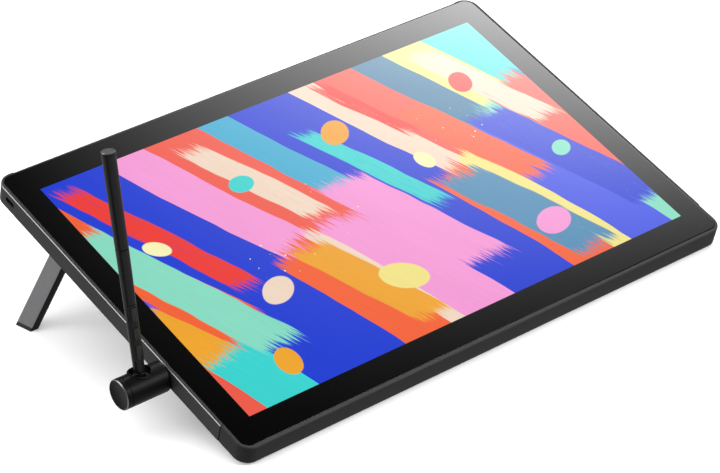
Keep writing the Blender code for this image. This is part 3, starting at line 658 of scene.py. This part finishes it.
def outline(inset, height):
    """The housing's outline at a height, moved in by inset."""
    low = (HOUSING_LOW.x + inset, HOUSING_LOW.y + inset)
    high = (HOUSING_HIGH.x - inset, HOUSING_HIGH.y - inset)
    return raised(rounded(low, high, max(CORNER_RADIUS - inset, 0.002)), height)


def glass_outline(outset, height):
    low = (GLASS_LOW.x - outset, GLASS_LOW.y - outset)
    high = (GLASS_HIGH.x + outset, GLASS_HIGH.y + outset)
    return raised(rounded(low, high, GLASS_RADIUS + outset), height)


def rail_stations(side, start, end):
    """Points and outward normals from the front seam, up the side and round the rear corner."""
    low, high = HOUSING_LOW.xy, HOUSING_HIGH.xy
    centre = Vector((high.x - CORNER_RADIUS, high.y - CORNER_RADIUS))
    stations = [(Vector((high.x, y)), Vector((1, 0))) for y in (start, (start + centre.y) / 2)]
    for step in range(CORNER_STEPS + 1):
        normal = polar(1.0, math.radians(90 * step / CORNER_STEPS))
        stations.append((centre + normal * CORNER_RADIUS, normal))
    stations.append((Vector((end, high.y)), Vector((0, 1))))
    if side > 0:
        return stations
    middle = (low.x + high.x) / 2
    return [(Vector((2 * middle - p.x, p.y)), Vector((-n.x, n.y))) for p, n in stations]


def port_outline(grow, radius):
    low, high = box_in(TABLET, "usb_c_port")
    return rounded((low.y - grow, low.z - grow), (high.y + grow, high.z + grow), radius, 8)


def make_front_frame():
    """The housing's walls and the rim round the glass, with the rails' pockets let into it."""
    top, bottom = HOUSING_HIGH.z, HOUSING_LOW.z
    pocket_floor = GLASS_LOW.z - GAP
    cavity_top = pocket_floor - 0.0015
    window = rounded((-0.1773, -0.1136), (0.1773, 0.113), 0.001)
    rim = fillet(0.0, top - RIM_DROP, RIM_DROP, 1, 1, 8, width=RIM_WIDTH)
    foot = fillet(0.0, bottom + 0.0006, 0.0006, 1, -1)
    loops = [
        raised(window, cavity_top), raised(window, pocket_floor),
        glass_outline(GLASS_GAP, pocket_floor), glass_outline(GLASS_GAP, top - 0.0001),
        glass_outline(GLASS_GAP + 0.0001, top),
        *[outline(inset, height) for inset, height in reversed(rim)],
        *[outline(inset, height) for inset, height in foot],
        outline(WALL_INSET, bottom), outline(WALL_INSET, cavity_top),
    ]
    item = as_object("front_frame_shell", loops_mesh(loops, closed=True), TABLET)
    depth, clear = 0.001, 0.005
    section = [(-depth, bottom - clear), (clear, bottom - clear), (clear, top + clear), (-depth, top + clear)]
    for side in (-1, 1):
        combine(item, swept(rail_stations(side, RAIL_SEAM, -RAIL_REAR_END), section), TABLET)
        ends = sorted((side * (GLASS_HIGH.x - 0.001), side * (HOUSING_HIGH.x + 0.001)))
        seam = rounded((ends[0], RAIL_SEAM), (ends[1], RAIL_SEAM + 0.0004), 0.0001, 1)
        combine(item, prism(seam, top - 0.0005, top + 0.001), TABLET)
    cut_port_and_plug(item)
    low, high = box_in(TABLET, "power_button")
    slot = rounded((low.z - GAP, low.x - GAP), (high.z + GAP, high.x + GAP), 0.0018, 8)
    combine(item, prism(slot, low.y - 0.002, high.y + 0.004), TABLET_Y)
    present(item, ["housing"], "tablet", "front_frame")


def cut_port_and_plug(item):
    """The openings for the port and the holder's tongue, through the wall and the rail alike."""
    low, high = box_in(TABLET, "usb_c_port")
    port = prism(port_outline(GAP, 0.0017), low.x - 0.004, high.x + 0.001)
    combine(item, port, TABLET_X)
    low, high = box_in(TABLET, "holder_plug")
    tongue = 0.004 + GAP
    middle = (low.y + high.y) / 2
    slot = rounded((middle - tongue, -0.0085), (middle + tongue, -0.0039), 0.0004, 3)
    combine(item, prism(slot, HOUSING_LOW.x - 0.004, HOUSING_LOW.x + 0.0065), TABLET_X)


def make_side_rails():
    """Strips let into the walls, their upper edge cut bright."""
    top, bottom = HOUSING_HIGH.z, HOUSING_LOW.z + 0.0002
    edge = 0.0003
    inner, outer = -0.0007, 0.0003
    profile = [
        (inner, bottom), (outer - edge, bottom), (outer, bottom + edge), (outer, top - edge),
        (outer - edge, top), (inner, top),
    ]
    for side, word in ((-1, "left"), (1, "right")):
        stations = rail_stations(side, RAIL_SEAM + SEAM_WIDTH, -RAIL_REAR_END + GAP)
        item = as_object(f"side_rail_{word}_strip", swept(stations, profile, bright=(3,)), TABLET)
        if side < 0:
            cut_port_and_plug(item)
        present(item, ["rail", "bright_cut"], "tablet", f"side_rail_{word}")


def make_cover_glass():
    """One sheet edge to edge, its rim polished to a small round, the picture lit behind its face."""
    edge = 0.00025
    top, bottom = GLASS_HIGH.z, GLASS_LOW.z
    loops = [glass_outline(-inset, height) for inset, height in fillet(0.0, top - edge, edge, 1, 1, 4)]
    loops.insert(0, glass_outline(0.0, bottom))
    loops.append(glass_outline(-2 * edge, top))
    corners = [(1, -1), (1, 1), (-1, 1), (-1, -1)]
    half = PICTURE / 2
    frame_loop = []
    for x, y in corners:
        point = PICTURE_CENTRE + Vector((x * half.x, y * half.y))
        frame_loop += [Vector((*point, top))] * (CORNER_STEPS + 1)
    shape = loops_mesh([*loops, frame_loop])
    layer = shape.loops.layers.uv.new("picture")
    for face in shape.faces:
        lit = all(abs(v.co.z - top) < 1e-7 and abs(v.co.x) < half.x + 1e-5 for v in face.verts)
        face.material_index = 1 if lit else 0
        for corner in face.loops:
            place = corner.vert.co.xy - PICTURE_CENTRE
            corner[layer].uv = (place.x / PICTURE.x + 0.5, place.y / PICTURE.y + 0.5)
    item = as_object("cover_glass_sheet", shape, TABLET)
    present(item, ["glass", "picture"], "tablet", "cover_glass")


def make_back_cover():
    """The moulded back, with troughs for the legs, vent slots and countersunk screw holes."""
    bottom, flange = COVER_LOW.z, HOUSING_LOW.z - 0.0001
    wall = COVER_INSET
    slope_end = wall + COVER_SLOPE
    loops = [
        outline(wall + 0.0042, bottom + 0.0015), outline(wall + 0.0042, COVER_HIGH.z),
        outline(WALL_INSET + GAP, COVER_HIGH.z), outline(WALL_INSET + GAP, flange),
        outline(wall, flange), outline(wall, bottom + COVER_SLOPE + 0.0003),
        outline(wall + 0.0003, bottom + COVER_SLOPE - 0.0003),
        outline(slope_end - 0.0006, bottom + 0.0006), outline(slope_end, bottom + 0.0002),
        outline(slope_end + 0.0006, bottom),
    ]
    item = as_object("back_cover_shell", loops_mesh(loops), TABLET)
    for side, word in ((-1, "left"), (1, "right")):
        add_leg_trough(item, side, word)
    for index in range(VENT_COUNT):
        x = (index - VENT_COUNT // 2) * VENT_PITCH
        slot = rounded((x - 0.001, 0.088), (x + 0.001, 0.1), 0.0009, 4)
        combine(item, prism(slot, bottom - 0.003, bottom + 0.003), TABLET)
    for index in range(SCREW_COUNT):
        low, high = box_in(TABLET, f"back_screw_{index + 1}")
        middle = (low + high) / 2
        head = (high.x - low.x) / 2 + GAP
        mouth = head + 0.0004
        hole = turned([
            (0, 0.006), (0.0013, 0.006), (0.0013, 0.0009), (head, 0.0009), (head, 0.0002),
            (mouth, -0.0002), (mouth, -0.002), (0, -0.002),
        ], 32)
        combine(item, hole, moved(TABLET, middle.x, middle.y, bottom))
    present(item, ["cover"], "tablet", "back_cover", smooth=28)


def add_leg_trough(item, side, word):
    """A walled recess for the folded leg, wider round the hinge, with a lead-in at its mouth."""
    low, high = box_in(TABLET, f"leg_bracket_{word}")
    middle = (low.y + high.y) / 2
    bottom = COVER_LOW.z
    below = bottom - 0.01
    roof = high.z + 0.0004
    wall = TROUGH_WALL
    inner, outer = TROUGH_X
    half_width = TROUGH_HALF_WIDTH
    lead_in = 0.0004

    def block(x_low, x_high, half, z_low, z_high, radius):
        ends = sorted((side * x_low, side * x_high))
        return prism(rounded((ends[0], middle - half), (ends[1], middle + half), radius, 6), z_low, z_high)

    box = block(inner - wall, outer + wall, HINGE_BAY_HALF_WIDTH + wall, bottom + 0.0005, roof + wall, 0.002)
    combine(item, box, TABLET, "UNION")
    combine(item, block(inner, outer, half_width, below, roof, 0.001), TABLET)
    combine(item, block(HINGE_BAY_X, outer, HINGE_BAY_HALF_WIDTH, below, roof - 0.00002, 0.001), TABLET)
    mouth = block(inner - lead_in, outer + lead_in, half_width + lead_in, below, bottom + lead_in, 0.0014)
    combine(item, mouth, TABLET)


def star(points, outer, inner):
    angles = [math.pi * k / points for k in range(points * 2)]
    radii = [outer, inner] * points
    return [polar(radius, angle) for radius, angle in zip(radii, angles)]


def make_screws():
    for index in range(SCREW_COUNT):
        node = f"back_screw_{index + 1}"
        low, high = box_in(TABLET, node)
        radius = (high.x - low.x) / 2
        profile = [
            (0, high.z), (0.0008, high.z), (0.001, high.z - 0.0003), (0.001, low.z + 0.0005),
            (radius, low.z + 0.0005), (radius, low.z + 0.0002), (radius - 0.0003, low.z), (0, low.z),
        ]
        middle = (low + high) / 2
        place = moved(TABLET, middle.x, middle.y)
        item = as_object(f"{node}_head", turned(profile, 48), place)
        combine(item, prism(star(6, 0.0011, 0.0008), low.z - 0.001, low.z + 0.0004), place)
        present(item, ["screw"], "tablet", node)


def make_usb_port():
    """A metal shell with a tongue standing in its throat."""
    low, high = box_in(TABLET, "usb_c_port")
    shell = prism(port_outline(0.0, 0.00145), low.x, high.x, 0.0001)
    item = as_object("usb_c_port_shell", shell, TABLET_X)
    throat = prism(port_outline(-0.0003, 0.00115), low.x - 0.002, high.x - 0.0008)
    combine(item, throat, TABLET_X)
    middle = ((low + high) / 2).yz
    half = Vector((0.003, 0.00035))
    tongue = rounded(middle - half, middle + half, 0.0001, 3)
    combine(item, prism(tongue, low.x + 0.0015, high.x - 0.0001), TABLET_X, "UNION")
    present(item, ["port"], "tablet", "usb_c_port")


def make_power_button():
    low, high = box_in(TABLET, "power_button")
    shape = prism(rounded((low.z, low.x), (high.z, high.x), 0.0015, 10), low.y, high.y, 0.00025)
    item = as_object("power_button_key", shape, TABLET_Y)
    present(item, ["button"], "power_key", "power_button")


def cut_by_floor(shape, place, height, keep_above=True):
    """Cuts a shape by the level plane at a height above the floor."""
    inverse = place.inverted()
    point = inverse @ (place.translation * Vector((1, 1, 0)) + Vector((0, 0, height)))
    normal = (inverse.to_3x3() @ Vector((0, 0, 1))).normalized()
    geometry = shape.verts[:] + shape.edges[:] + shape.faces[:]
    result = bmesh.ops.bisect_plane(
        shape, geom=geometry, dist=1e-8, plane_co=point, plane_no=normal,
        clear_inner=keep_above, clear_outer=not keep_above,
    )
    rim = [part for part in result["geom_cut"] if isinstance(part, bmesh.types.BMEdge)]
    bmesh.ops.contextual_create(shape, geom=rim)


def make_rubber_feet():
    """Round-edged pads. The front two are cut level where they stand on the floor."""
    bottom = box_in(TABLET, "rubber_foot_rear_left")[0].z
    for words in ("front_left", "front_right", "rear_left", "rear_right"):
        node = f"rubber_foot_{words}"
        low, high = box_in(TABLET, node)
        pad_outline = rounded(low, high, 0.003, 10)
        levels = [(0.0, high.z), *fillet(0.0, bottom + 0.0008, 0.0008, 1, -1)]
        shape = loops_mesh([raised(inset_outline(pad_outline, inset), height) for inset, height in levels])
        if words.startswith("front"):
            bmesh.ops.recalc_face_normals(shape, faces=shape.faces)
            cut_by_floor(shape, TABLET, 0.0)
        item = as_object(f"{node}_pad", shape, TABLET)
        present(item, ["rubber"], "tablet", node)


# ---- legs

def leg_bar(half_thickness, half_width):
    """A flat bar seen from its edge, its top turned round the hinge, its two narrow sides given a darker
    finish as painted shade.
    """
    steps = 24
    foot = -0.12
    angles = [math.pi * k / steps for k in range(steps + 1)]
    side = [Vector((half_thickness, foot))]
    side += [polar(half_thickness, angle) for angle in angles]
    side.append(Vector((-half_thickness, foot)))
    turn = Matrix(((1, 0, 0, 0), (0, 0, -1, 0), (0, 1, 0, 0), (0, 0, 0, 1)))
    shape = prism(side, -half_width, half_width)
    bmesh.ops.transform(shape, matrix=turn, verts=shape.verts)
    bmesh.ops.recalc_face_normals(shape, faces=shape.faces)
    for face in shape.faces:
        # Narrow sides facing along Y take the second, darker finish: painted shade.
        face.material_index = 1 if abs(face.normal.y) > 0.9 else 0
    return shape


def level_part(bar, name, place, bottom, top=None):
    """The part of a bar that lies above one height, and below another if it is given."""
    shape = bmesh.new()
    shape.from_mesh(bar.data)
    cut_by_floor(shape, place, bottom)
    if top:
        cut_by_floor(shape, place, top, False)
    return as_object(name, shape, place)


def make_leg(side, word):
    """An anodised bar with softened edges on its pin, and flush with it the rubber pad it stands on."""
    place = leg_frame(side, word)
    low, high = box_in(place, f"leg_{word}")
    pad_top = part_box(f"leg_foot_pad_{word}")[1].z
    bar = as_object("bar", leg_bar((high.x - low.x) / 2, (high.y - low.y) / 2), place)
    bevelled(bar, LEG_EDGE, 3, 30)
    item = level_part(bar, f"leg_{word}_bar", place, pad_top + GLASS_GAP)
    combine(item, cylinder(LEG_BORE_RADIUS, -0.02, 0.02, 32), place @ ALONG_Y)
    # Wide faces get the grey copy as painted sheen, narrow faces the near-black copy as painted shade.
    present(item, ["leg", "leg_side"], f"{word}_leg", f"leg_{word}")
    item = level_part(bar, f"leg_{word}_foot", place, 0.0, pad_top)
    bpy.data.objects.remove(bar)
    present(item, ["rubber", "rubber"], f"{word}_leg", f"leg_foot_pad_{word}")


# ---- pen holder

# The post and the lip round its pen hole, the openings cut into it, and the flange of its plug.
POST_RADIUS = 0.0096
POST_EDGE = 0.0008
LIP_RADIUS = 0.0075
LIP_ROUND = 0.0006
LIP_CREST = 0.01
LIP_DIP = 0.007
HOLE_RADIUS = 0.0064
SOCKET_RADIUS = 0.0049
SOCKET_FLOOR = -0.0069
SEAT_RADIUS = 0.0079
PEG_RADIUS = 0.003
BAY_RADIUS = 0.0048
BAY_DROP = -0.003
CAP_SPIGOT = 0.00155
FLANGE_THICKNESS = 0.0012
FLANGE_Z = (-0.0112, -0.0026)
POST_OUTER_FACE = HOUSING_LOW.x - 0.0003 - GAP


def lip_height(sine):
    """Height of the pen hole's lip at an angle from X: it dips in front and is nearly level behind."""
    if sine < 0:
        return math.sqrt(LIP_CREST ** 2 - (LIP_DIP * sine) ** 2) + 0.0009 * sine ** 2
    return LIP_CREST - 0.0006 * sine ** 2


def lip_disc():
    """A disc whose top is a saddle that follows the post, its rim a round bead over a narrower neck."""
    angles = [math.tau * k / ROUND_STEPS for k in range(ROUND_STEPS)]
    neck = LIP_RADIUS - LIP_ROUND
    loops = [[Vector((*polar(neck, angle), -0.003)) for angle in angles]]
    upper = fillet(0.0, -LIP_ROUND, LIP_ROUND, 1, 1, 5)
    lower = fillet(0.0, -LIP_ROUND, LIP_ROUND, 1, -1, 5)
    for inset, drop in [*reversed(lower[1:]), *upper, (LIP_RADIUS / 2, 0.0)]:
        radius = LIP_RADIUS - inset
        loops.append([
            Vector((*polar(radius, angle), lip_height(math.sin(angle)) + drop))
            for angle in angles
        ])
    return loops_mesh(loops)


def flange_outline(grow):
    low, high = box_in(TABLET, "holder_plug")
    bottom, top = FLANGE_Z
    return rounded((low.y - grow, bottom - grow), (high.y + grow, top + grow), 0.002 + grow, 8)


def make_holder_body():
    """A round post with a lip round the pen hole, blended together, and a pocket for the plug."""
    low, high = box_in(HOLDER, "holder_body")
    along = HOLDER @ ALONG_X
    spare = 0.001
    slight = 0.3 * POST_EDGE
    post = turned([
        (0, high.x), (POST_RADIUS - POST_EDGE, high.x), (POST_RADIUS - slight, high.x - slight),
        (POST_RADIUS, high.x - POST_EDGE), (POST_RADIUS, low.x - spare), (0, low.x - spare),
    ])
    item = as_object("holder_post", post, along)
    combine(item, lip_disc(), HOLDER, "UNION")
    well = turned([
        (0, 0.016), (HOLE_RADIUS, 0.016), (HOLE_RADIUS, 0.0075), (SOCKET_RADIUS, 0.002),
        (SOCKET_RADIUS, SOCKET_FLOOR), (0, SOCKET_FLOOR),
    ])
    combine(item, well, HOLDER)
    soften(item, 0.00017, 3)
    combine(item, cylinder(0.02, low.x - 0.004, low.x), along)
    combine(item, cylinder(SEAT_RADIUS, low.x - 0.002, low.x + 0.002), along)
    combine(item, cylinder(PEG_RADIUS + GAP, high.x - 0.0046, high.x + 0.002, 48), along)
    pocket_floor = POST_OUTER_FACE - FLANGE_THICKNESS - GAP
    combine(item, prism(flange_outline(GAP), pocket_floor, pocket_floor + 0.004), TABLET_X)
    bay = cylinder(BAY_RADIUS, low.x - 0.001, low.x + 0.0057, 48)
    combine(item, bay, moved(HOLDER, z=BAY_DROP) @ ALONG_X)
    present(item, ["holder"], "holder", "holder_body", smooth=40)


def soften(item, voxel, repeats):
    """Rounds every edge a little and blends the joints between shapes."""
    remesh = item.modifiers.new("Remesh", "REMESH")
    remesh.mode = "VOXEL"
    remesh.voxel_size = voxel
    smooth = item.modifiers.new("Smooth", "SMOOTH")
    smooth.factor = 0.5
    smooth.iterations = repeats
    settle(item)


def make_socket_liner():
    inside = [
        (0, -0.0061), (0.0016, -0.0061), (0.0016, -0.004), (0.0024, -0.001), (0.0031, 0.0025),
        (0.0038, 0.0058), (0.0042, 0.0061),
    ]
    outside = [(0.005, 0.0061), (0.0053, 0.0058), (0.0046, 0.0021), (0.0046, -0.0066), (0, -0.0066)]
    item = as_object("socket_sleeve", turned([*inside, *outside], 64), HOLDER)
    present(item, ["rubber"], "holder", "socket_liner")


def make_holder_cap():
    """The screw-on end, its rim chamfer given a bright metal finish as a painted highlight."""
    low, high = box_in(HOLDER, "holder_cap")
    edge = 0.0006
    inner, outer = 0.0068, 0.0076
    seam = high.x - CAP_SPIGOT
    shape = turned([
        (0, seam - 0.0027), (inner, seam - 0.0027), (inner, high.x), (outer, high.x), (outer, seam),
        (POST_RADIUS - 0.0002, seam), (POST_RADIUS, seam - 0.0002), (POST_RADIUS, low.x + edge),
        (POST_RADIUS - edge, low.x), (POST_RADIUS - 0.0012, low.x), (POST_RADIUS - 0.0014, low.x + 0.0001),
        (0, low.x + 0.0001),
    ])
    # The rim chamfer's faces take the bright metal: a painted highlight.
    for face in shape.faces:
        heights = [v.co.z for v in face.verts]
        if min(heights) < low.x + 1e-6 and max(heights) > low.x + edge - 1e-6:
            face.material_index = 1
    item = as_object("holder_end_cap", shape, HOLDER @ ALONG_X)
    present(item, ["holder", "edge_painted_highlight"], "cap", "holder_cap")


def make_holder_plug():
    """The flange sunk in the post's end, the tongue through the wall and the peg into the post."""
    low, high = box_in(TABLET, "holder_plug")
    middle = (low.y + high.y) / 2
    flange_start = POST_OUTER_FACE - FLANGE_THICKNESS
    flange = prism(flange_outline(0.0), flange_start, POST_OUTER_FACE, 0.0002)
    item = as_object("holder_plug_flange", flange, TABLET_X)
    tongue = rounded((middle - 0.004, -0.0082), (middle + 0.004, -0.0042), 0.0004, 4)
    combine(item, prism(tongue, POST_OUTER_FACE - 0.0004, high.x, 0.0003), TABLET_X, "UNION")
    centre = TABLET.inverted() @ HOLDER.translation
    peg = cylinder(PEG_RADIUS, low.x, flange_start + 0.0005, 48)
    combine(item, peg, moved(TABLET, y=centre.y, z=centre.z) @ ALONG_X, "UNION")
    present(item, ["holder"], "holder", "holder_plug")


# ---- pen

PEN_TOP = box_in(PEN, "pen_end_cap")[1].z
NOSE_TOP = box_in(PEN, "pen_nose_cone")[1].z
SEAM = box_in(PEN, "pen_front_barrel")[1].z
FRONT_RADIUS = 0.0034
SEAM_RADIUS = 0.00395
TOP_RADIUS = 0.0042
PEN_WALL = 0.0008
# Where the plate and its buttons start and end, measured up from the nib.
PLATE = (0.0215, 0.0588)
PLATE_HALF_WIDTH = 0.0029
BUTTONS = {"lower": (0.0239, 0.0336), "middle": (0.0365, 0.0445), "upper": (0.0484, 0.0574)}
BUTTON_HALF_WIDTH = 0.0016
PLATE_RISE = 0.00035
BUTTON_RISE = 0.00065
NIB_RADIUS = 0.0007


def barrel_radius(height):
    share = (height - NOSE_TOP) / (SEAM - NOSE_TOP)
    return FRONT_RADIUS + share * (SEAM_RADIUS - FRONT_RADIUS)


def sleeve(low, high, outer, inner, edge, steps):
    """A tube that follows the front barrel's taper, with its outer rims broken by an edge."""
    top, bottom = barrel_radius(high), barrel_radius(low)
    drop = max(edge, 1e-5)
    return turned([
        (top + inner, high), (top + outer - edge, high), (top + outer, high - drop),
        (bottom + outer, low + drop), (bottom + outer - edge, low), (bottom + inner, low),
    ], steps)


def pill(half_width, low, high, radius):
    """A round-cornered block through the side that the buttons are on."""
    shape = prism(rounded((low, -half_width), (high, half_width), radius, 8), -0.006, 0.0)
    bmesh.ops.transform(shape, matrix=ALONG_Y, verts=shape.verts)
    return shape


def make_barrels():
    edge = 0.00022
    item = as_object("pen_front_tube", sleeve(NOSE_TOP + GAP, SEAM, 0.0, -PEN_WALL, edge, 128), PEN)
    low, high = PLATE
    combine(item, pill(PLATE_HALF_WIDTH + GAP, low - GAP, high + GAP, 0.002), PEN)
    present(item, ["pen"], "pen", "pen_front_barrel")
    top = box_in(PEN, "pen_rear_barrel")[1].z
    bottom = SEAM + GAP
    shape = turned([
        (TOP_RADIUS - PEN_WALL, top), (TOP_RADIUS - 0.00005, top), (TOP_RADIUS, top - 0.00005),
        (SEAM_RADIUS, bottom + edge), (SEAM_RADIUS - edge, bottom), (SEAM_RADIUS - PEN_WALL, bottom),
    ])
    item = as_object("pen_rear_tube", shape, PEN)
    present(item, ["pen"], "pen", "pen_rear_barrel")


def make_end_cap():
    """The disc that closes the pen, on a spigot in the barrel: its flat top painted lighter as a painted
    sheen, inside a rim given bright metal as a painted highlight.
    """
    low = PEN_TOP - 0.0017
    edge = 0.0003
    dish = 0.0001
    shape = turned([
        (0, PEN_TOP - dish), (TOP_RADIUS - 0.0008, PEN_TOP - dish), (TOP_RADIUS - 0.0007, PEN_TOP),
        (TOP_RADIUS - edge, PEN_TOP), (TOP_RADIUS, PEN_TOP - edge), (TOP_RADIUS, low + 0.0001),
        (TOP_RADIUS - 0.0001, low), (0.003, low), (0.003, low - 0.004), (0, low - 0.004),
    ])
    # The flat top takes the lighter finish as painted sheen, the rim round it the bright metal as painted
    # highlight.
    for face in shape.faces:
        depths = [PEN_TOP - vertex.co.z for vertex in face.verts]
        if max(depths) < 1.5 * dish:
            face.material_index = 2
        elif max(depths) < 1.5 * edge:
            face.material_index = 1
    item = as_object("pen_end_disc", shape, PEN)
    present(item, ["pen", "edge_painted_highlight", "cap_top_painted_sheen"], "pen", "pen_end_cap")


def make_buttons():
    """A raised plate let into the barrel, with three keys standing a little above it."""
    low, high = PLATE
    item = as_object("pen_plate", sleeve(low - 0.002, high + 0.002, PLATE_RISE, -0.0005, 0.0, 192), PEN)
    combine(item, pill(PLATE_HALF_WIDTH, low, high, 0.0018), PEN, "INTERSECT")
    for button_low, button_high in BUTTONS.values():
        hole = pill(BUTTON_HALF_WIDTH + GAP, button_low - GAP, button_high + GAP, 0.0016)
        combine(item, hole, PEN)
    present(item, ["pen"], "pen", "pen_button_plate", smooth=24)
    for word, (low, high) in BUTTONS.items():
        key = sleeve(low - 0.001, high + 0.001, BUTTON_RISE, -0.0003, 0.0, 192)
        item = as_object(f"pen_key_{word}", key, PEN)
        combine(item, pill(BUTTON_HALF_WIDTH, low, high, 0.0013), PEN, "INTERSECT")
        bevelled(item, 0.00018, 2, 45)
        present(item, ["button"], f"pen_key_{word}", f"pen_button_{word}", smooth=24)


def make_nose_and_nib():
    outside = [
        (0.0022, NOSE_TOP), (FRONT_RADIUS - 0.0002, NOSE_TOP), (FRONT_RADIUS - 0.00005, NOSE_TOP - 0.0002),
        (0.0031, 0.0115), (0.0026, 0.008), (0.0019, 0.0045), (0.0013, 0.0018), (0.0012, 0.0016),
    ]
    item = as_object("pen_nose", turned([*outside, (0.001, 0.0016), (0.001, 0.009)], 64), PEN)
    present(item, ["pen"], "pen", "pen_nose_cone")
    angles = [math.pi / 2 * k / 6 for k in range(7)]
    tip = [(NIB_RADIUS * math.sin(angle), NIB_RADIUS * (1 - math.cos(angle))) for angle in angles]
    profile = [(0, 0.015), (NIB_RADIUS - 0.0001, 0.015), (NIB_RADIUS, 0.0149), *reversed(tip)]
    item = as_object("pen_nib_rod", turned(profile, 32), PEN)
    present(item, ["nib"], "nib", "pen_nib")


# ---- inner parts keep their CAD shapes

CARRIED = {
    "panel": ["display_panel"],
    "diffuser": ["backlight_unit"],
    "board": ["digitizer_board", "main_board", "port_board", "pen_board"],
    "sheet": ["chassis_plate", "board_shield"],
    "steel": [
        "leg_bracket_left", "leg_bracket_right", "leg_pin_left", "leg_pin_right", "pen_pressure_sensor",
    ],
    "plastic": ["power_switch", "nib_tray"],
    "nib": ["spare_nib_1", "spare_nib_2", "spare_nib_3"],
    "ferrite": ["pen_coil_core"],
}


def finish_carried_nodes():
    for finish, nodes in CARRIED.items():
        for node in nodes:
            item = frame["nodes"][node]
            item.data.materials.clear()
            item.data.materials.append(FINISHES[finish])


# ---- studio

BLACK = (0, 0, 0, 1)
WHITE = (1, 1, 1, 1)


def make_card(name, size, place, tree):
    """A flat square of a material, level and centred on a place."""
    shape = bmesh.new()
    bmesh.ops.create_grid(shape, x_segments=2, y_segments=2, size=size)
    card = as_object(name, shape, Matrix.Translation(place))
    card.data.materials.append(tree.material)
    return card


def seen_in_gloss_only(item):
    item.visible_camera = False
    item.visible_diffuse = False
    item.visible_shadow = False


def make_floor():
    """The pale floor, and the dimmer one that glossy surfaces see in its place."""
    tree = Tree("pale_floor")
    clouds = tree.noise(tree.place(), 3.0)
    tree.drive("Base Color", tree.mix(clouds, [0.8, 0.8, 0.8], [0.83, 0.83, 0.83]))
    tree.set(Roughness=0.9, Specular_IOR_Level=0.1, Emission_Color=WHITE, Emission_Strength=0.22)
    floor = make_card("floor", 8.0, (0, 0, 0), tree)
    floor.visible_diffuse = False
    floor.visible_glossy = False
    tree = Tree("dim_floor")
    tree.set(Base_Color=BLACK, Emission_Color=WHITE, Emission_Strength=0.55, Roughness=1.0)
    seen_in_gloss_only(make_card("floor_sheen", 4.0, (0, 0, -0.001), tree))


def make_flag():
    """A black wedge on the floor behind the pen, seen only as the dark stripe down its side."""
    start = Vector((-0.25, -0.06))
    reach = 0.6
    shape = bmesh.new()
    angles = [math.radians(degrees) for degrees in (176, 199, 222)]
    corners = [start, *[start + polar(reach, angle) for angle in angles]]
    shape.faces.new([shape.verts.new((*corner, 0.001)) for corner in corners])
    flag = as_object("dark_flag", shape)
    tree = Tree("flag_black")
    tree.set(Base_Color=BLACK, Roughness=1.0, Specular_IOR_Level=0.0)
    flag.data.materials.append(tree.material)
    seen_in_gloss_only(flag)


# Name, place, the point it faces, side, power, and whether glossy surfaces see it.
LIGHTS = [
    ("key_softbox", (0.5, 0.4, 1.5), (0.0, 0.0, 0.0), 1.4, 11, False),
    ("ceiling", (-0.3, -0.2, 2.0), (-0.1, 0.0, 0.0), 5.0, 135, False),
    ("left_softbox", (-1.26, 0.65, 0.7), (-0.15, 0.0, 0.05), 1.1, 11, True),
    ("front_softbox", (0.44, -0.88, 0.57), (-0.2, -0.05, 0.03), 0.5, 7, True),
]


def make_lights():
    for name, location, target, side, power, glossy in LIGHTS:
        data = bpy.data.lights.new(name, "AREA")
        data.shape = "SQUARE"
        data.size = side
        data.energy = power
        light = bpy.data.objects.new(name, data)
        light.location = location
        light.rotation_euler = (Vector(target) - Vector(location)).to_track_quat("-Z", "Y").to_euler()
        light.visible_camera = False
        light.visible_glossy = glossy
        bpy.context.scene.collection.objects.link(light)


def make_reflected_card():
    """A graded card overhead to the right, seen only as the soft sheen on the glass."""
    tree = Tree("graded_card")
    x, y, _ = tree.parts(tree.place())
    u, v = tree.within(x, -0.45, 0.6), tree.within(y, -0.25, 0.35)
    slope = tree.line(v, 7.595, 2.644)
    level = tree.line(v, 3.554, tree.line(slope, u, 1.115))
    level = tree.within(level, 0.0, 3.3)
    tree.drive("Emission Strength", tree.times(level, level))
    tree.set(Base_Color=BLACK, Emission_Color=WHITE, Roughness=1.0)
    seen_in_gloss_only(make_card("sheen_card", 1.0, (0.86, 0.39, 1.3), tree))


def make_studio():
    make_floor()
    make_flag()
    make_reflected_card()
    make_lights()
    world = bpy.data.worlds.new("studio")
    bpy.context.scene.world = world
    world.use_nodes = True
    background = world.node_tree.nodes["Background"]
    background.inputs["Color"].default_value = WHITE
    background.inputs["Strength"].default_value = 0.05
    bpy.context.scene.view_settings.view_transform = "Standard"


def make_camera():
    data = bpy.data.cameras.new("camera")
    data.sensor_width = 36.0
    data.lens = 140.5
    camera = bpy.data.objects.new("camera", data)
    forward = Vector((0.5349, 0.7013, -0.4714)).normalized()
    right = Vector((0.7753, -0.6291, -0.056))
    right = (right - forward * right.dot(forward)).normalized()
    camera.matrix_world = basis((-0.9322, -1.2334, 0.863), right, right.cross(forward), -forward)
    bpy.context.scene.collection.objects.link(camera)
    bpy.context.scene.camera = camera


make_front_frame()
make_side_rails()
make_cover_glass()
make_back_cover()
make_screws()
make_usb_port()
make_power_button()
make_rubber_feet()
for leg_side, leg_word in ((-1, "left"), (1, "right")):
    make_leg(leg_side, leg_word)
make_holder_body()
make_socket_liner()
make_holder_cap()
make_holder_plug()
make_barrels()
make_end_cap()
make_buttons()
make_nose_and_nib()
finish_carried_nodes()
make_studio()
make_camera()
